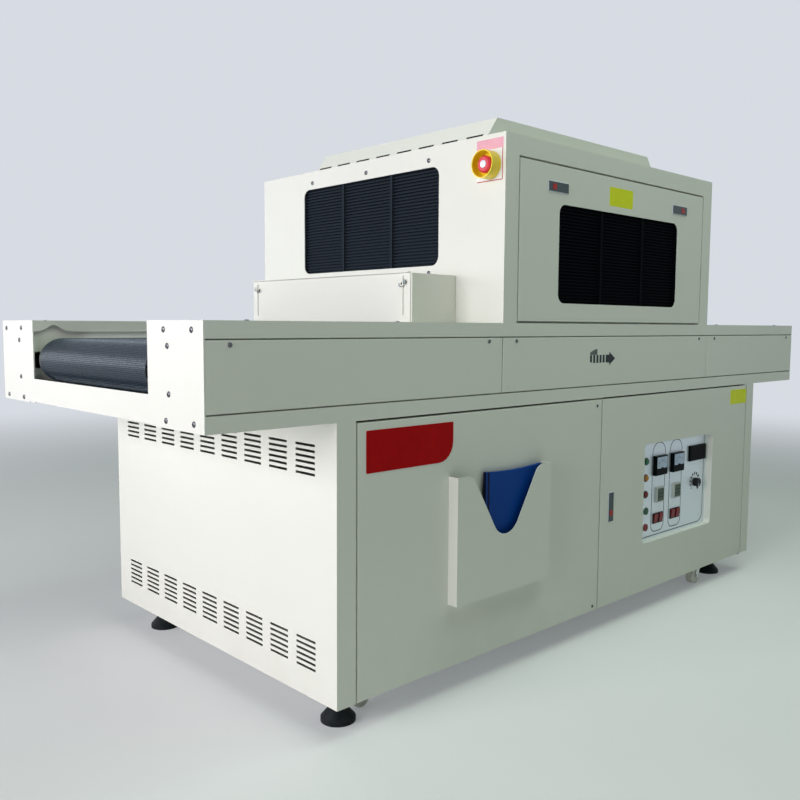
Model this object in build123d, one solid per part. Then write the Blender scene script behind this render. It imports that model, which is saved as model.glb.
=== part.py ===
from build123d import *
import os

# A conveyor oven: a long flat beam carries a mesh belt under a hood, on a cabinet with feet and casters.
# +X runs with the belt from infeed to outfeed, the operator's side faces -Y, and the floor is z = 0.

# Beam
beam_length = 2450
beam_width = 1006
beam_height = 200
work_height = 860
sheet = 2
end_plate_thickness = 3
opening_width = 591
opening_depth = 141
plate_step_height = 3
plate_step_overlap = 35
band_height = 32
lip_height = 27
lip_overhang = 7.5
lip_notch_width = 92
lip_notch_rise = 17
lip_notch_offset = 51
rebate_depth = 14
rebate_height = 12
cover_gap = 3
pan_flange = 30

# Belt and drums
belt_width = 542
belt_thickness = 3
belt_drop = 43
drum_diameter = 99
drum_inset = 60
drum_end_clearance = 8
drum_belt_clearance = 0.4
shaft_diameter = 20
shaft_slot_reach = 17
shaft_slot_height = 40
shaft_end_gap = 2
bearing_length = 60
bearing_height = 50
bearing_width = 24
bed_thickness = 3
bed_end_gap = 20
bed_flange = 20

# Cabinet
cabinet_length = 1855
infeed_overhang = 294
cabinet_rear_inset = 20
cabinet_floor_gap = 68
post_width = 50
panel_gap = 3
post_gap = 5
door_seam = 5
door_lift = 1
panel_flange = 18
panel_rebate = 14
door_flange = 13
edge_bevel = 1
panel_break_offset = 1222
centre_post_width = 60
centre_post_depth = 30
base_thickness = 3
base_flange = 40
hinge_inset = 6
hinge_pin_diameter = 5
hinge_clearance = 0.05
hinge_lug_thickness = 3
hinge_lug_setback = 0.5

# Vents in the cabinet's ends
vent_columns = 9
vent_rows = 6
vent_slot_length = 67
vent_slot_height = 5.5
vent_row_pitch = 12.1
vent_column_pitch = 98
vent_first_inset = 71
vent_upper_drop = 51
vent_lower_rise = 60

# Control recess in the door
recess_width = 417
recess_height = 297
recess_corner = 12
recess_depth = 22
recess_left = 224
recess_bottom = 144
tray_wall = 1.5

# Instruments on the recess's back
column_pitch = 102
first_column = 121
meter_width = 66
meter_height = 60
meter_depth = 12
meter_level = 222
instrument_bevel = 1.5
timer_width = 42
timer_height = 46
timer_depth = 8
timer_level = 131
timer_offset = 4
timer_screen_width = 36
timer_screen_height = 38
timer_screen_depth = 1
rocker_width = 25
rocker_height = 32
rocker_depth = 7
rocker_frame_depth = 3
rocker_frame_width = 2.5
rocker_frame_height = 3
rocker_tilt_depth = 3
rocker_tilt_height = 24
rocker_level = 59
rocker_gap = 5
lamp_column = 46
lamp_pitch = 50
lamp_lowest = 40
lamp_bezel_diameter = 23
lamp_bezel_height = 2.5
lens_diameter = 17
lens_height = 6
button_bezel_diameter = 29
button_bezel_height = 4
button_diameter = 22
button_height = 7
display_width = 104
display_height = 50
display_depth = 7
display_column = 353
display_level = 238
knob_diameter = 26
knob_height = 16
knob_column = 347
knob_level = 142
knob_clearance = 0.5
spindle_diameter = 6
spindle_length = 9
spindle_clearance = 0.05

# Flush latches
latch_length = 84
latch_width = 26
latch_rise = 2.5
latch_bevel = 1.2
latch_button_length = 15
latch_button_offset = 17.5
latch_button_rise = 1
latch_button_margin = 6
latch_inset = 50
latch_level = 282

# Document pocket and its folder
pocket_width = 341
pocket_height = 295
pocket_depth = 28
pocket_sheet = 1.5
pocket_left = 274
pocket_bottom = 151
notch_apex_depth = 199
notch_half_width = 120
notch_bottom_radius = 49
notch_flare_radius = 35
folder_width = 212
folder_height = 292
folder_thickness = 9
folder_left = 109
folder_gap = 4
folder_sag = 5
folder_spine_bevel = 3

# Hood
hood_start = 798
hood_length = 1000
hood_height = 443
hood_rear_inset = 18
hood_stile = 50
hood_top_rail = 47
hood_door_bottom_gap = 5
window_side_inset_infeed = 216
window_side_length = 562
window_bottom_rise = 145
window_height = 247
window_corner = 24
door_window_start = 162
door_window_length = 585
door_window_bottom = 46
hood_latch_top = 40
hood_latch_inset_infeed = 112
hood_latch_inset_outfeed = 105
tunnel_cut_width = 600

# Finned filters behind the windows
filter_bars = 2
filter_bar_width = 9
filter_bar_pitch = 202
filter_margin = 12
fin_pitch = 8.5
fin_thickness = 3
fin_depth = 8
filter_frame_depth = 14
filter_backing = 2
filter_frame_lap = 2
filter_bar_clearance = 0.4

# Roof cap
cap_length = 743
cap_width = 660
cap_height = 45.5
cap_end_slope = 34
cap_front_inset = 56
cap_slots = 8
cap_slot_length = 55
cap_slot_pitch = 82.5
cap_slot_height = 5
cap_slot_first = 44
cap_slot_reach = 8

# Lamp housing over the belt
housing_width = 640
housing_height = 100
housing_clearance = 24
housing_chamfer = 30

# Infeed and outfeed boxes with sliding gates
box_length = 151
box_width = 671
box_height = 117
box_front_inset = 154
mouth_lintel = 20
box_groove_width = 3
box_groove_depth = 1.2
gate_thickness = 2
gate_slide_gap = 0.5
gate_side_inset = 4
gate_flange = 8
gate_slot_width = 6
gate_slot_length = 93
gate_slot_inset = 27
gate_slot_bottom = 18
gate_stud_diameter = 5
gate_stud_drop = 25
gate_knob_diameter = 12
gate_knob_length = 7
gate_foot_gap = 1
gate_flange_gap = 1

# Emergency stop on the hood's infeed end
stop_front_inset = 47
stop_drop = 72
guard_diameter = 66
guard_wall = 2.5
guard_depth = 31
guard_base = 4
mushroom_diameter = 40
mushroom_reach = 26
mushroom_height = 12
mushroom_stem_diameter = 24
stop_travel = 5
stop_clearance = 0.5
mushroom_bevel = 4

# Feet and casters
foot_diameter = 77
foot_rim_height = 9
foot_cone_height = 34
foot_neck_diameter = 34
foot_stem_diameter = 16
foot_infeed_inset = 70
foot_outfeed_inset = 125
foot_front_inset = 83
foot_rear_inset = 125
caster_infeed_inset = 158
caster_outfeed_inset = 278
caster_infeed_side_inset = 100
caster_outfeed_side_inset = 48
wheel_diameter = 50
wheel_width = 22
wheel_floor_gap = 3
wheel_clearance = 1.5
axle_diameter = 8
axle_clearance = 0.05
caster_trail = 16
fork_sheet = 2.5
fork_plate = 50
fork_plate_thickness = 3
fork_crown_width = 24
fork_toe_back = 6
fork_toe_front = 8
fork_toe_drop = 4
swivel_clearance = 0.5
kingpin_diameter = 10
kingpin_clearance = 0.05

# Levels and edges that several pieces share
front = -beam_width / 2
rear = beam_width / 2
infeed = -beam_length / 2
outfeed = beam_length / 2
beam_top = work_height
beam_bottom = work_height - beam_height
opening_edge = opening_width / 2
inner_wall = opening_edge + lip_overhang
belt_top = beam_top - belt_drop
drum_level = belt_top - belt_thickness - drum_belt_clearance - drum_diameter / 2
infeed_drum_x = infeed + drum_inset
outfeed_drum_x = outfeed - drum_inset
cabinet_infeed = infeed + infeed_overhang
cabinet_outfeed = cabinet_infeed + cabinet_length
cabinet_rear = rear - cabinet_rear_inset
cabinet_bottom = cabinet_floor_gap
panel_break = infeed + panel_break_offset
hood_infeed = infeed + hood_start
hood_outfeed = hood_infeed + hood_length
hood_rear = rear - hood_rear_inset
hood_top = beam_top + hood_height


def block(x0, x1, y0, y1, z0, z1):
    return Pos((x0 + x1) / 2, (y0 + y1) / 2, (z0 + z1) / 2) * Box(x1 - x0, y1 - y0, z1 - z0)


# A folded sheet: its outer line in the plane, thickened to one side and drawn out along the normal.
def folded(plane, points, length, side=Side.LEFT, thickness=sheet):
    line = Polyline(*points)
    face = make_face(offset(line, amount=thickness, side=side, kind=Kind.INTERSECTION))
    return extrude(plane * face, length)


# A plate standing in the XZ plane with its outer face at y, its material running inward (+Y).
def upright(sketch, y, thickness):
    return extrude(Plane.XZ.offset(-y) * sketch, -thickness)


def rear_twin(piece):
    return mirror(piece, about=Plane.XZ)


def outfeed_twin(piece):
    return mirror(piece, about=Plane.YZ)


pieces = {}


# The pointed arch cut in the lip's lower edge, with hollow flanks.
def lip_arch():
    half = lip_notch_width / 2
    rise = lip_notch_rise
    flank = [(-half, 0), (-half * 0.7, rise * 0.12), (-half * 0.45, rise * 0.38), (-half * 0.2, rise * 0.8)]
    far_flank = [(-x, z) for x, z in reversed(flank)]
    return make_face(Polyline(*flank, (0, rise), *far_flank, (half, -1), (-half, -1), close=True))


# Side boxes of the beam: a folded channel with a rebate for the covers and a lip beside the belt.
def side_box():
    length = beam_length - 2 * end_plate_thickness
    start = infeed + end_plate_thickness
    plane = Plane(origin=(start, 0, 0), x_dir=(0, 1, 0), z_dir=(1, 0, 0))
    rebate = front + rebate_depth
    lower = [
        (rebate, beam_bottom + band_height + rebate_height),
        (rebate, beam_bottom + band_height),
        (front, beam_bottom + band_height),
        (front, beam_bottom),
        (-inner_wall, beam_bottom),
        (-inner_wall, beam_top - sheet),
    ]
    upper = [
        (rebate, beam_top - band_height - rebate_height),
        (rebate, beam_top - band_height),
        (front, beam_top - band_height),
        (front, beam_top),
        (-opening_edge, beam_top),
        (-opening_edge, beam_top - lip_height),
    ]
    box = folded(plane, lower, length) + folded(plane, upper, length, Side.RIGHT)
    for end in (-1, 1):
        end_x = end * (beam_length / 2 - end_plate_thickness)
        slot_x = end * (beam_length / 2 - drum_inset - shaft_slot_reach)
        x_low, x_high = sorted((end_x, slot_x))
        half = shaft_slot_height / 2
        box -= block(x_low, x_high, -inner_wall - 2 * sheet, -inner_wall + sheet,
                     drum_level - half, drum_level + half)
        notch_x = end * (beam_length / 2 - lip_notch_offset)
        arch = Pos(notch_x, beam_top - lip_height) * lip_arch()
        box -= extrude(Plane.XZ.offset(opening_edge - 1) * arch, 2 * sheet)
    return box


# A shallow tray: front sheet with flanges folded back on all four sides.
def tray(width, height, flange, thickness=sheet):
    body = Box(width, flange, height, align=(Align.CENTER, Align.MIN, Align.CENTER))
    body = chamfer(body.faces().sort_by(Axis.Y)[0].edges(), edge_bevel)
    hollow = Pos(0, thickness, 0) * Box(
        width - 2 * thickness, flange, height - 2 * thickness, align=(Align.CENTER, Align.MIN, Align.CENTER)
    )
    return body - hollow


def cover(x0, x1):
    height = beam_height - 2 * band_height - 2 * cover_gap
    middle = (beam_top + beam_bottom) / 2
    return Pos((x0 + x1) / 2, front, middle) * tray(x1 - x0, height, rebate_depth)


def beam_covers():
    half_gap = cover_gap / 2
    breaks = [infeed + end_plate_thickness, hood_infeed, hood_outfeed, outfeed - end_plate_thickness]
    row = [
        cover(breaks[0], breaks[1] - half_gap),
        cover(breaks[1] + half_gap, breaks[2] - half_gap),
        cover(breaks[2] + half_gap, breaks[3]),
    ]
    return row


def end_plate():
    outline = Pos(0, (beam_top + beam_bottom) / 2) * Rectangle(beam_width, beam_height)
    mouth = Pos(0, beam_top - opening_depth / 2) * Rectangle(opening_width, opening_depth)
    step_width = opening_width + 2 * plate_step_overlap
    step = Pos(0, beam_bottom + plate_step_height / 2) * Rectangle(step_width, plate_step_height)
    plane = Plane(origin=(infeed, 0, 0), x_dir=(0, 1, 0), z_dir=(1, 0, 0))
    return extrude(plane * (outline - mouth - step), end_plate_thickness)


def belt_pan():
    length = beam_length - 2 * end_plate_thickness
    plane = Plane(origin=(infeed + end_plate_thickness, 0, 0), x_dir=(0, 1, 0), z_dir=(1, 0, 0))
    half = inner_wall
    base = beam_bottom + plate_step_height
    points = [(-half, base + pan_flange), (-half, base), (half, base), (half, base + pan_flange)]
    return folded(plane, points, length)


def loop_outline(radius):
    middle = (infeed_drum_x + outfeed_drum_x) / 2
    return Pos(middle, drum_level) * SlotCenterToCenter(outfeed_drum_x - infeed_drum_x, 2 * radius)


def conveyor_belt():
    inner = drum_diameter / 2 + drum_belt_clearance
    ring = loop_outline(inner + belt_thickness) - loop_outline(inner)
    return extrude(Plane.XZ.offset(-belt_width / 2) * ring, belt_width)


# A drum with a shaft that reaches through the slots into its bearings.
def drum(x):
    length = opening_width - 2 * drum_end_clearance
    reach = 2 * (inner_wall + sheet + bearing_width - shaft_end_gap)
    shell = Cylinder(drum_diameter / 2, length, rotation=(90, 0, 0))
    shaft = Cylinder(shaft_diameter / 2, reach, rotation=(90, 0, 0))
    return Pos(x, 0, drum_level) * (shell + shaft)


def bearing_blocks(x):
    blocks = []
    for side in (-1, 1):
        y = side * (inner_wall + sheet + bearing_width / 2)
        block_body = Box(bearing_length, bearing_width, bearing_height)
        bore = Cylinder(shaft_diameter / 2 + axle_clearance, bearing_width + 1, rotation=(90, 0, 0))
        blocks.append(Pos(x, y, drum_level) * (block_body - bore))
    return blocks


def belt_bed():
    top = belt_top - belt_thickness
    reach = drum_diameter / 2 + bed_end_gap
    half = inner_wall
    plane = Plane(origin=(infeed_drum_x + reach, 0, 0), x_dir=(0, 1, 0), z_dir=(1, 0, 0))
    points = [(-half, top - bed_flange), (-half, top), (half, top), (half, top - bed_flange)]
    return folded(plane, points, outfeed_drum_x - infeed_drum_x - 2 * reach, Side.RIGHT, bed_thickness)


# Cabinet ends: each is one sheet folded round its two posts, with two fields of slots.
def cabinet_end():
    depth = cabinet_rear - front
    height = beam_bottom - cabinet_bottom
    plane = Plane(origin=(0, 0, cabinet_bottom), x_dir=(1, 0, 0), z_dir=(0, 0, 1))
    x = cabinet_infeed
    points = [
        (x + post_width + panel_rebate, front + panel_flange),
        (x + post_width, front + panel_flange),
        (x + post_width, front),
        (x, front),
        (x, cabinet_rear),
        (x + post_width, cabinet_rear),
        (x + post_width, cabinet_rear - panel_flange),
        (x + post_width + panel_rebate, cabinet_rear - panel_flange),
    ]
    shell = folded(plane, points, height, Side.RIGHT)
    field_height = (vent_rows - 1) * vent_row_pitch + vent_slot_height
    field_width = (vent_columns - 1) * vent_column_pitch + vent_slot_length
    y_middle = front + vent_first_inset + field_width / 2
    upper_middle = beam_bottom - vent_upper_drop - field_height / 2
    lower_middle = cabinet_bottom + vent_lower_rise + field_height / 2
    side = Plane(origin=(x, 0, 0), x_dir=(0, 1, 0), z_dir=(1, 0, 0))
    slots = Sketch()
    for z_middle in (upper_middle, lower_middle):
        grid = GridLocations(vent_column_pitch, vent_row_pitch, vent_columns, vent_rows)
        slots += Pos(y_middle, z_middle) * grid * Rectangle(vent_slot_length, vent_slot_height)
    return shell - extrude(side * slots, sheet)


def cabinet_base():
    x0 = cabinet_infeed + sheet
    x1 = cabinet_outfeed - sheet
    y0 = front + panel_flange + sheet
    y1 = cabinet_rear - panel_flange - sheet
    plane = Plane(origin=(x0, 0, 0), x_dir=(0, 1, 0), z_dir=(1, 0, 0))
    top = cabinet_bottom + base_flange
    points = [(y0, top), (y0, cabinet_bottom), (y1, cabinet_bottom), (y1, top)]
    return folded(plane, points, x1 - x0, Side.LEFT, base_thickness)


def centre_posts():
    posts = []
    z0 = cabinet_bottom + base_thickness
    half = centre_post_width / 2
    for y0 in (front + panel_flange, cabinet_rear - panel_flange - centre_post_depth):
        inner0 = y0 + (base_thickness + sheet if y0 < 0 else 0)
        inner1 = y0 + centre_post_depth - (base_thickness + sheet if y0 > 0 else 0)
        post = block(panel_break - half, panel_break + half, inner0, inner1, z0, beam_bottom)
        edge = block(panel_break - half, panel_break + half, y0, y0 + centre_post_depth,
                     cabinet_bottom + base_flange, beam_bottom)
        posts.append(post + edge)
    return posts


panel_height = beam_bottom - cabinet_bottom - door_seam - door_lift
panel_middle = cabinet_bottom + door_lift + panel_height / 2
door_left = panel_break - panel_gap / 2 + door_seam
door_right = cabinet_outfeed - post_width - door_seam


def front_panel():
    x0 = cabinet_infeed + post_width + post_gap
    x1 = panel_break - panel_gap / 2
    return Pos((x0 + x1) / 2, front, panel_middle) * tray(x1 - x0, panel_height, panel_flange)


def rear_panels():
    x0 = cabinet_infeed + post_width + post_gap
    x3 = cabinet_outfeed - post_width - post_gap
    panels = []
    for a, b in ((x0, panel_break - panel_gap / 2), (panel_break + panel_gap / 2, x3)):
        panel = Rot(0, 0, 180) * tray(b - a, panel_height, panel_flange)
        panels.append(Pos((a + b) / 2, cabinet_rear, panel_middle) * panel)
    return panels


recess_x = door_left + recess_left + recess_width / 2
recess_z = cabinet_bottom + recess_bottom + recess_height / 2
hinge_x = door_right - hinge_inset
hinge_y = front + hinge_inset


def control_door():
    width = door_right - door_left
    door = Pos((door_left + door_right) / 2, front, panel_middle) * tray(width, panel_height, door_flange)
    opening = Pos(recess_x, recess_z) * RectangleRounded(recess_width, recess_height, recess_corner)
    door -= upright(opening, front, sheet)
    bore = hinge_pin_diameter / 2 + hinge_clearance
    return door - Pos(hinge_x, hinge_y, panel_middle) * Cylinder(bore, panel_height + 1)


# Fixed hinge pins: each stands on a lug and reaches through the door's top or bottom flange.
def hinge_pins():
    pins = []
    low_pin = (cabinet_bottom - hinge_lug_thickness, cabinet_bottom + door_lift + 2 * sheet)
    high_pin = (beam_bottom - door_seam - 2 * sheet, beam_bottom)
    for lug_top, reach, (pin0, pin1) in ((cabinet_bottom, 2 * panel_flange, low_pin),
                                         (beam_bottom, panel_flange, high_pin)):
        lug = block(hinge_x - hinge_inset, hinge_x + hinge_inset, front + hinge_lug_setback, front + reach,
                    lug_top - hinge_lug_thickness, lug_top)
        pin = Pos(hinge_x, hinge_y, (pin0 + pin1) / 2) * Cylinder(hinge_pin_diameter / 2, pin1 - pin0)
        pins.append(lug + pin)
    return pins


def control_panel():
    outer = Pos(recess_x, recess_z) * RectangleRounded(
        recess_width + 2 * tray_wall, recess_height + 2 * tray_wall, recess_corner + tray_wall
    )
    inner = Pos(recess_x, recess_z) * RectangleRounded(recess_width, recess_height, recess_corner)
    body = upright(outer, front + sheet, recess_depth)
    body -= upright(inner, front + sheet, recess_depth - tray_wall)
    return body + stand_out(knob_column, knob_level, Circle(spindle_diameter / 2), spindle_length)


panel_face = front + sheet + recess_depth - tray_wall
panel_x0 = recess_x - recess_width / 2
panel_z0 = recess_z - recess_height / 2


# Something that stands out of the recess's back towards the operator.
def stand_out(column, level, sketch, depth):
    spot = Pos(panel_x0 + column, panel_z0 + level)
    return upright(spot * sketch, panel_face - depth, depth)


def instrument_columns():
    return [first_column, first_column + column_pitch]


def panel_meters():
    meters = []
    for column in instrument_columns():
        body = stand_out(column, meter_level, Rectangle(meter_width, meter_height), meter_depth)
        meters.append(chamfer(body.faces().sort_by(Axis.Y)[0].edges(), instrument_bevel))
    return meters


def panel_timers():
    timers = []
    screen_face = Rectangle(timer_screen_width, timer_screen_height)
    for column in instrument_columns():
        spot = column + timer_offset
        body = stand_out(spot, timer_level, Rectangle(timer_width, timer_height), timer_depth)
        body = chamfer(body.faces().sort_by(Axis.Y)[0].edges(), instrument_bevel)
        screen = stand_out(spot, timer_level, screen_face, timer_depth)
        timers.append(body - Pos(0, timer_screen_depth - timer_depth, 0) * screen)
    return timers


def rocker_switches():
    switches = []
    cap = Rectangle(rocker_width - 2 * rocker_frame_width, rocker_height - 2 * rocker_frame_height)
    for column in instrument_columns():
        for side in (-1, 1):
            spot = column + side * (rocker_width + rocker_gap) / 2
            frame = stand_out(spot, rocker_level, Rectangle(rocker_width, rocker_height), rocker_frame_depth)
            wedge = stand_out(spot, rocker_level, cap, rocker_depth)
            tip = wedge.faces().sort_by(Axis.Y)[0].edges().sort_by(Axis.Z)[0]
            switches.append(frame + chamfer(tip, rocker_tilt_depth, rocker_tilt_height))
    return switches


# A round item turned about an axis that points at the operator, from its profile's (radius, height) pairs.
def turned_item(column, level, points):
    item = revolve(Plane.XZ * make_face(Polyline(*points, close=True)), Axis.Z)
    return Pos(panel_x0 + column, panel_face, panel_z0 + level) * Rot(90, 0, 0) * item


def bezel_profile(bezel_diameter, bezel, cap_diameter, height):
    rim, cap = bezel_diameter / 2, cap_diameter / 2
    return [(0, 0), (rim, 0), (rim, bezel), (cap, bezel), (cap, height), (0, height)]


def indicator_lamps():
    profile = bezel_profile(lamp_bezel_diameter, lamp_bezel_height, lens_diameter, lens_height)
    levels = [lamp_lowest + (2 + i) * lamp_pitch for i in range(3)]
    return [turned_item(lamp_column, level, profile) for level in levels]


def push_buttons():
    profile = bezel_profile(button_bezel_diameter, button_bezel_height, button_diameter, button_height)
    levels = [lamp_lowest + i * lamp_pitch for i in range(2)]
    return [turned_item(lamp_column, level, profile) for level in levels]


def speed_display():
    body = stand_out(display_column, display_level, Rectangle(display_width, display_height), display_depth)
    return chamfer(body.faces().sort_by(Axis.Y)[0].edges(), instrument_bevel)


def speed_knob():
    radius = knob_diameter / 2
    bore = spindle_diameter / 2 + spindle_clearance
    bore_end = spindle_length + 1
    return turned_item(knob_column, knob_level, [
        (bore, knob_clearance), (radius, knob_clearance), (radius, knob_height), (0, knob_height),
        (0, bore_end), (bore, bore_end),
    ])


# Flush latch: a bevelled plate with its button standing in one end.
def latch(length, width):
    plate = Box(length, latch_rise, width)
    plate = chamfer(plate.faces().sort_by(Axis.Y)[0].edges(), latch_bevel)
    button_x = (latch_button_length - length) / 2 + latch_button_offset
    button = Box(latch_button_length, latch_rise, width - 2 * latch_button_margin)
    return Pos(0, -latch_rise / 2, 0) * (plate + Pos(button_x, -latch_button_rise, 0) * button)


def cabinet_latch():
    turned = Rot(0, -90, 0) * latch(latch_length, latch_width)
    return Pos(door_left + latch_inset, front, cabinet_bottom + latch_level) * turned


def document_pocket():
    x0 = cabinet_infeed + post_width + pocket_left
    z0 = cabinet_bottom + pocket_bottom
    outer = block(x0, x0 + pocket_width, front - pocket_depth, front, z0, z0 + pocket_height)
    inner = block(x0 + pocket_sheet, x0 + pocket_width - pocket_sheet, front - pocket_depth + pocket_sheet,
                  front, z0 + pocket_sheet, z0 + pocket_height + 1)
    shell = outer - inner
    top = pocket_height
    above = top + notch_flare_radius
    wide = notch_half_width
    flared = notch_half_width + notch_flare_radius
    outline = make_face(Polyline(
        (-flared, top), (-wide, top), (0, top - notch_apex_depth), (wide, top), (flared, top),
        (flared, above), (-flared, above), close=True,
    ))
    outline = fillet(outline.vertices().sort_by(Axis.Y)[0], notch_bottom_radius)
    shoulders = [v for v in outline.vertices() if abs(abs(v.X) - wide) < 1 and abs(v.Y - top) < 1]
    outline = fillet(shoulders, notch_flare_radius)
    spot = Pos(x0 + pocket_width / 2, z0)
    return shell - upright(spot * outline, front - pocket_depth, pocket_sheet)


# The folder's sheets sag a little at the top between its corners.
def document_folder():
    x0 = cabinet_infeed + post_width + pocket_left + folder_left
    z0 = cabinet_bottom + pocket_bottom + pocket_sheet
    y0 = front - folder_thickness - folder_gap
    wide, high = folder_width, folder_height
    outline = make_face(
        Polyline((0, high), (0, 0), (wide, 0), (wide, high))
        + ThreePointArc((wide, high), (wide / 2, high - folder_sag), (0, high))
    )
    cover_sheet = upright(Pos(x0, z0) * outline, y0, folder_thickness)
    spine = cover_sheet.edges().filter_by(Axis.Z).group_by(Axis.X)[0]
    return chamfer(spine, folder_spine_bevel)


# Hood: one sheet folded over from front to rear, closed by an end sheet on each side.
hood_door_x0 = hood_infeed + hood_stile
hood_door_x1 = hood_outfeed - hood_stile
hood_door_z1 = hood_top - hood_top_rail


def hood_wrap():
    plane = Plane(origin=(hood_infeed + sheet, 0, 0), x_dir=(0, 1, 0), z_dir=(1, 0, 0))
    points = [(front, beam_top), (front, hood_top), (hood_rear, hood_top), (hood_rear, beam_top)]
    wrap = folded(plane, points, hood_length - 2 * sheet, Side.RIGHT)
    door_hole = block(hood_door_x0, hood_door_x1, front - 1, front + sheet + 1, beam_top - 1, hood_door_z1)
    rear_edge = front + panel_flange + sheet
    jamb = block(hood_door_x0 - sheet, hood_door_x1 + sheet, front, rear_edge, beam_top, hood_door_z1 + sheet)
    jamb -= block(hood_door_x0, hood_door_x1, front, rear_edge, beam_top, hood_door_z1)
    stop = block(hood_door_x0, hood_door_x1, rear_edge - sheet, rear_edge, beam_top, hood_door_z1)
    stop -= block(hood_door_x0 + panel_rebate, hood_door_x1 - panel_rebate, front, rear_edge,
                  beam_top + panel_rebate, hood_door_z1 - panel_rebate)
    return wrap - door_hole + jamb + stop


def hood_end():
    depth = hood_rear - front
    outline = Pos((front + hood_rear) / 2, (beam_top + hood_top) / 2) * Rectangle(depth, hood_height)
    window = Pos(front + window_side_inset_infeed + window_side_length / 2,
                 beam_top + window_bottom_rise + window_height / 2)
    window *= RectangleRounded(window_side_length, window_height, window_corner)
    mouth_height = box_height - mouth_lintel
    mouth = Pos(0, beam_top + mouth_height / 2) * Rectangle(tunnel_cut_width, mouth_height)
    plane = Plane(origin=(hood_infeed, 0, 0), x_dir=(0, 1, 0), z_dir=(1, 0, 0))
    return extrude(plane * (outline - window - mouth), sheet)


# A finned filter: frame, a stack of thin fins on a backing plate, and dividing bars across their front.
def finned_filter(width, height):
    outer = (width + 2 * filter_margin, height + 2 * filter_margin)
    inner_width = width - 2 * filter_frame_lap
    inner_height = height - 2 * filter_frame_lap
    body = extrude(Rectangle(*outer) - Rectangle(inner_width, inner_height), filter_frame_depth)
    body += extrude(Rectangle(*outer), filter_backing)
    count = int(inner_height / fin_pitch)
    fins = Sketch() + GridLocations(0, fin_pitch, 1, count) * Rectangle(inner_width, fin_thickness)
    body += extrude(fins, filter_backing + fin_depth)
    bar_back = filter_backing + fin_depth + filter_bar_clearance
    bar = extrude(Rectangle(filter_bar_width, inner_height), filter_frame_depth - bar_back)
    for spot in GridLocations(filter_bar_pitch, 0, filter_bars, 1):
        body += Pos(0, 0, bar_back) * spot * bar
    return body


def end_filter():
    panel = finned_filter(window_side_length, window_height)
    y = front + window_side_inset_infeed + window_side_length / 2
    z = beam_top + window_bottom_rise + window_height / 2
    seat = Plane(origin=(hood_infeed + sheet + filter_frame_depth, y, z), x_dir=(0, -1, 0), z_dir=(-1, 0, 0))
    return seat * panel


hood_door_width = hood_length - 2 * hood_stile - 2 * door_seam
hood_door_z0 = beam_top + hood_door_bottom_gap
hood_door_height = hood_door_z1 - door_seam - hood_door_z0
hood_middle = (hood_infeed + hood_outfeed) / 2
hood_hinge_y = front + hinge_inset
hood_hinge_z = hood_door_z0 + hinge_inset
door_window_x = hood_door_x0 + door_window_start + door_window_length / 2
door_window_z = hood_door_z0 + door_window_bottom + window_height / 2


def hood_door():
    z_middle = hood_door_z0 + hood_door_height / 2
    door = Pos(hood_middle, front, z_middle) * tray(hood_door_width, hood_door_height, door_flange)
    window = RectangleRounded(door_window_length, window_height, window_corner)
    door -= upright(Pos(door_window_x, door_window_z) * window, front, sheet)
    bore = Cylinder(hinge_pin_diameter / 2 + hinge_clearance, hood_door_width + 1, rotation=(0, 90, 0))
    return door - Pos(hood_middle, hood_hinge_y, hood_hinge_z) * bore


# Pivot pins of the hood's door: they stand on the jambs and reach through the door's side flanges.
def hood_hinges():
    length = door_seam + 2 * sheet
    pins = []
    for x in (hood_door_x0 + length / 2, hood_door_x1 - length / 2):
        pin = Cylinder(hinge_pin_diameter / 2, length, rotation=(0, 90, 0))
        pins.append(Pos(x, hood_hinge_y, hood_hinge_z) * pin)
    return pins


def door_filter():
    panel = finned_filter(door_window_length, window_height)
    seat = Plane(origin=(door_window_x, front + sheet + filter_frame_depth, door_window_z),
                 x_dir=(1, 0, 0), z_dir=(0, -1, 0))
    return seat * panel


def hood_latches():
    z = hood_door_z0 + hood_door_height - hood_latch_top - latch_width / 2
    left = hood_door_x0 + hood_latch_inset_infeed + latch_length / 2
    right = hood_door_x1 - hood_latch_inset_outfeed - latch_length / 2
    return [
        Pos(left, front, z) * latch(latch_length, latch_width),
        Pos(right, front, z) * Rot(0, 180, 0) * latch(latch_length, latch_width),
    ]


def roof_cap():
    y0 = front + cap_front_inset
    plane = Plane(origin=(0, y0, 0), x_dir=(1, 0, 0), z_dir=(0, -1, 0))
    x0 = hood_infeed
    x1 = hood_infeed + cap_length
    top = hood_top + cap_height
    slope = cap_end_slope
    outer = make_face(Polyline(
        (x0, hood_top), (x0 + slope, top), (x1 - slope, top), (x1, hood_top), close=True,
    ))
    slope += sheet
    inner = make_face(Polyline(
        (x0 + 3 * sheet, hood_top), (x0 + slope, top - sheet), (x1 - slope, top - sheet),
        (x1 - 3 * sheet, hood_top), close=True,
    ))
    cap = extrude(plane * outer, -cap_width)
    cap -= extrude(plane.offset(-sheet) * inner, -(cap_width - 2 * sheet))
    for end_x in (x0, x1):
        for i in range(cap_slots):
            slot_y = y0 + cap_slot_first + i * cap_slot_pitch - cap_slot_length / 2
            cap -= block(end_x - cap_slot_reach, end_x + cap_slot_reach, slot_y, slot_y + cap_slot_length,
                         hood_top - 1, hood_top + cap_slot_height)
    return cap


def lamp_housing():
    z0 = beam_top + housing_clearance
    body = Pos(hood_middle, 0, z0) * Box(
        hood_length - 2 * sheet, housing_width, housing_height, align=(Align.CENTER, Align.CENTER, Align.MIN)
    )
    long_edges = body.faces().sort_by(Axis.Z)[-1].edges().filter_by(Axis.X)
    return chamfer(long_edges, housing_chamfer)


# A box over the belt: folded top and sides, open below, at the hood and towards the gate.
box_front = front + box_front_inset
box_rear = box_front + box_width


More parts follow.
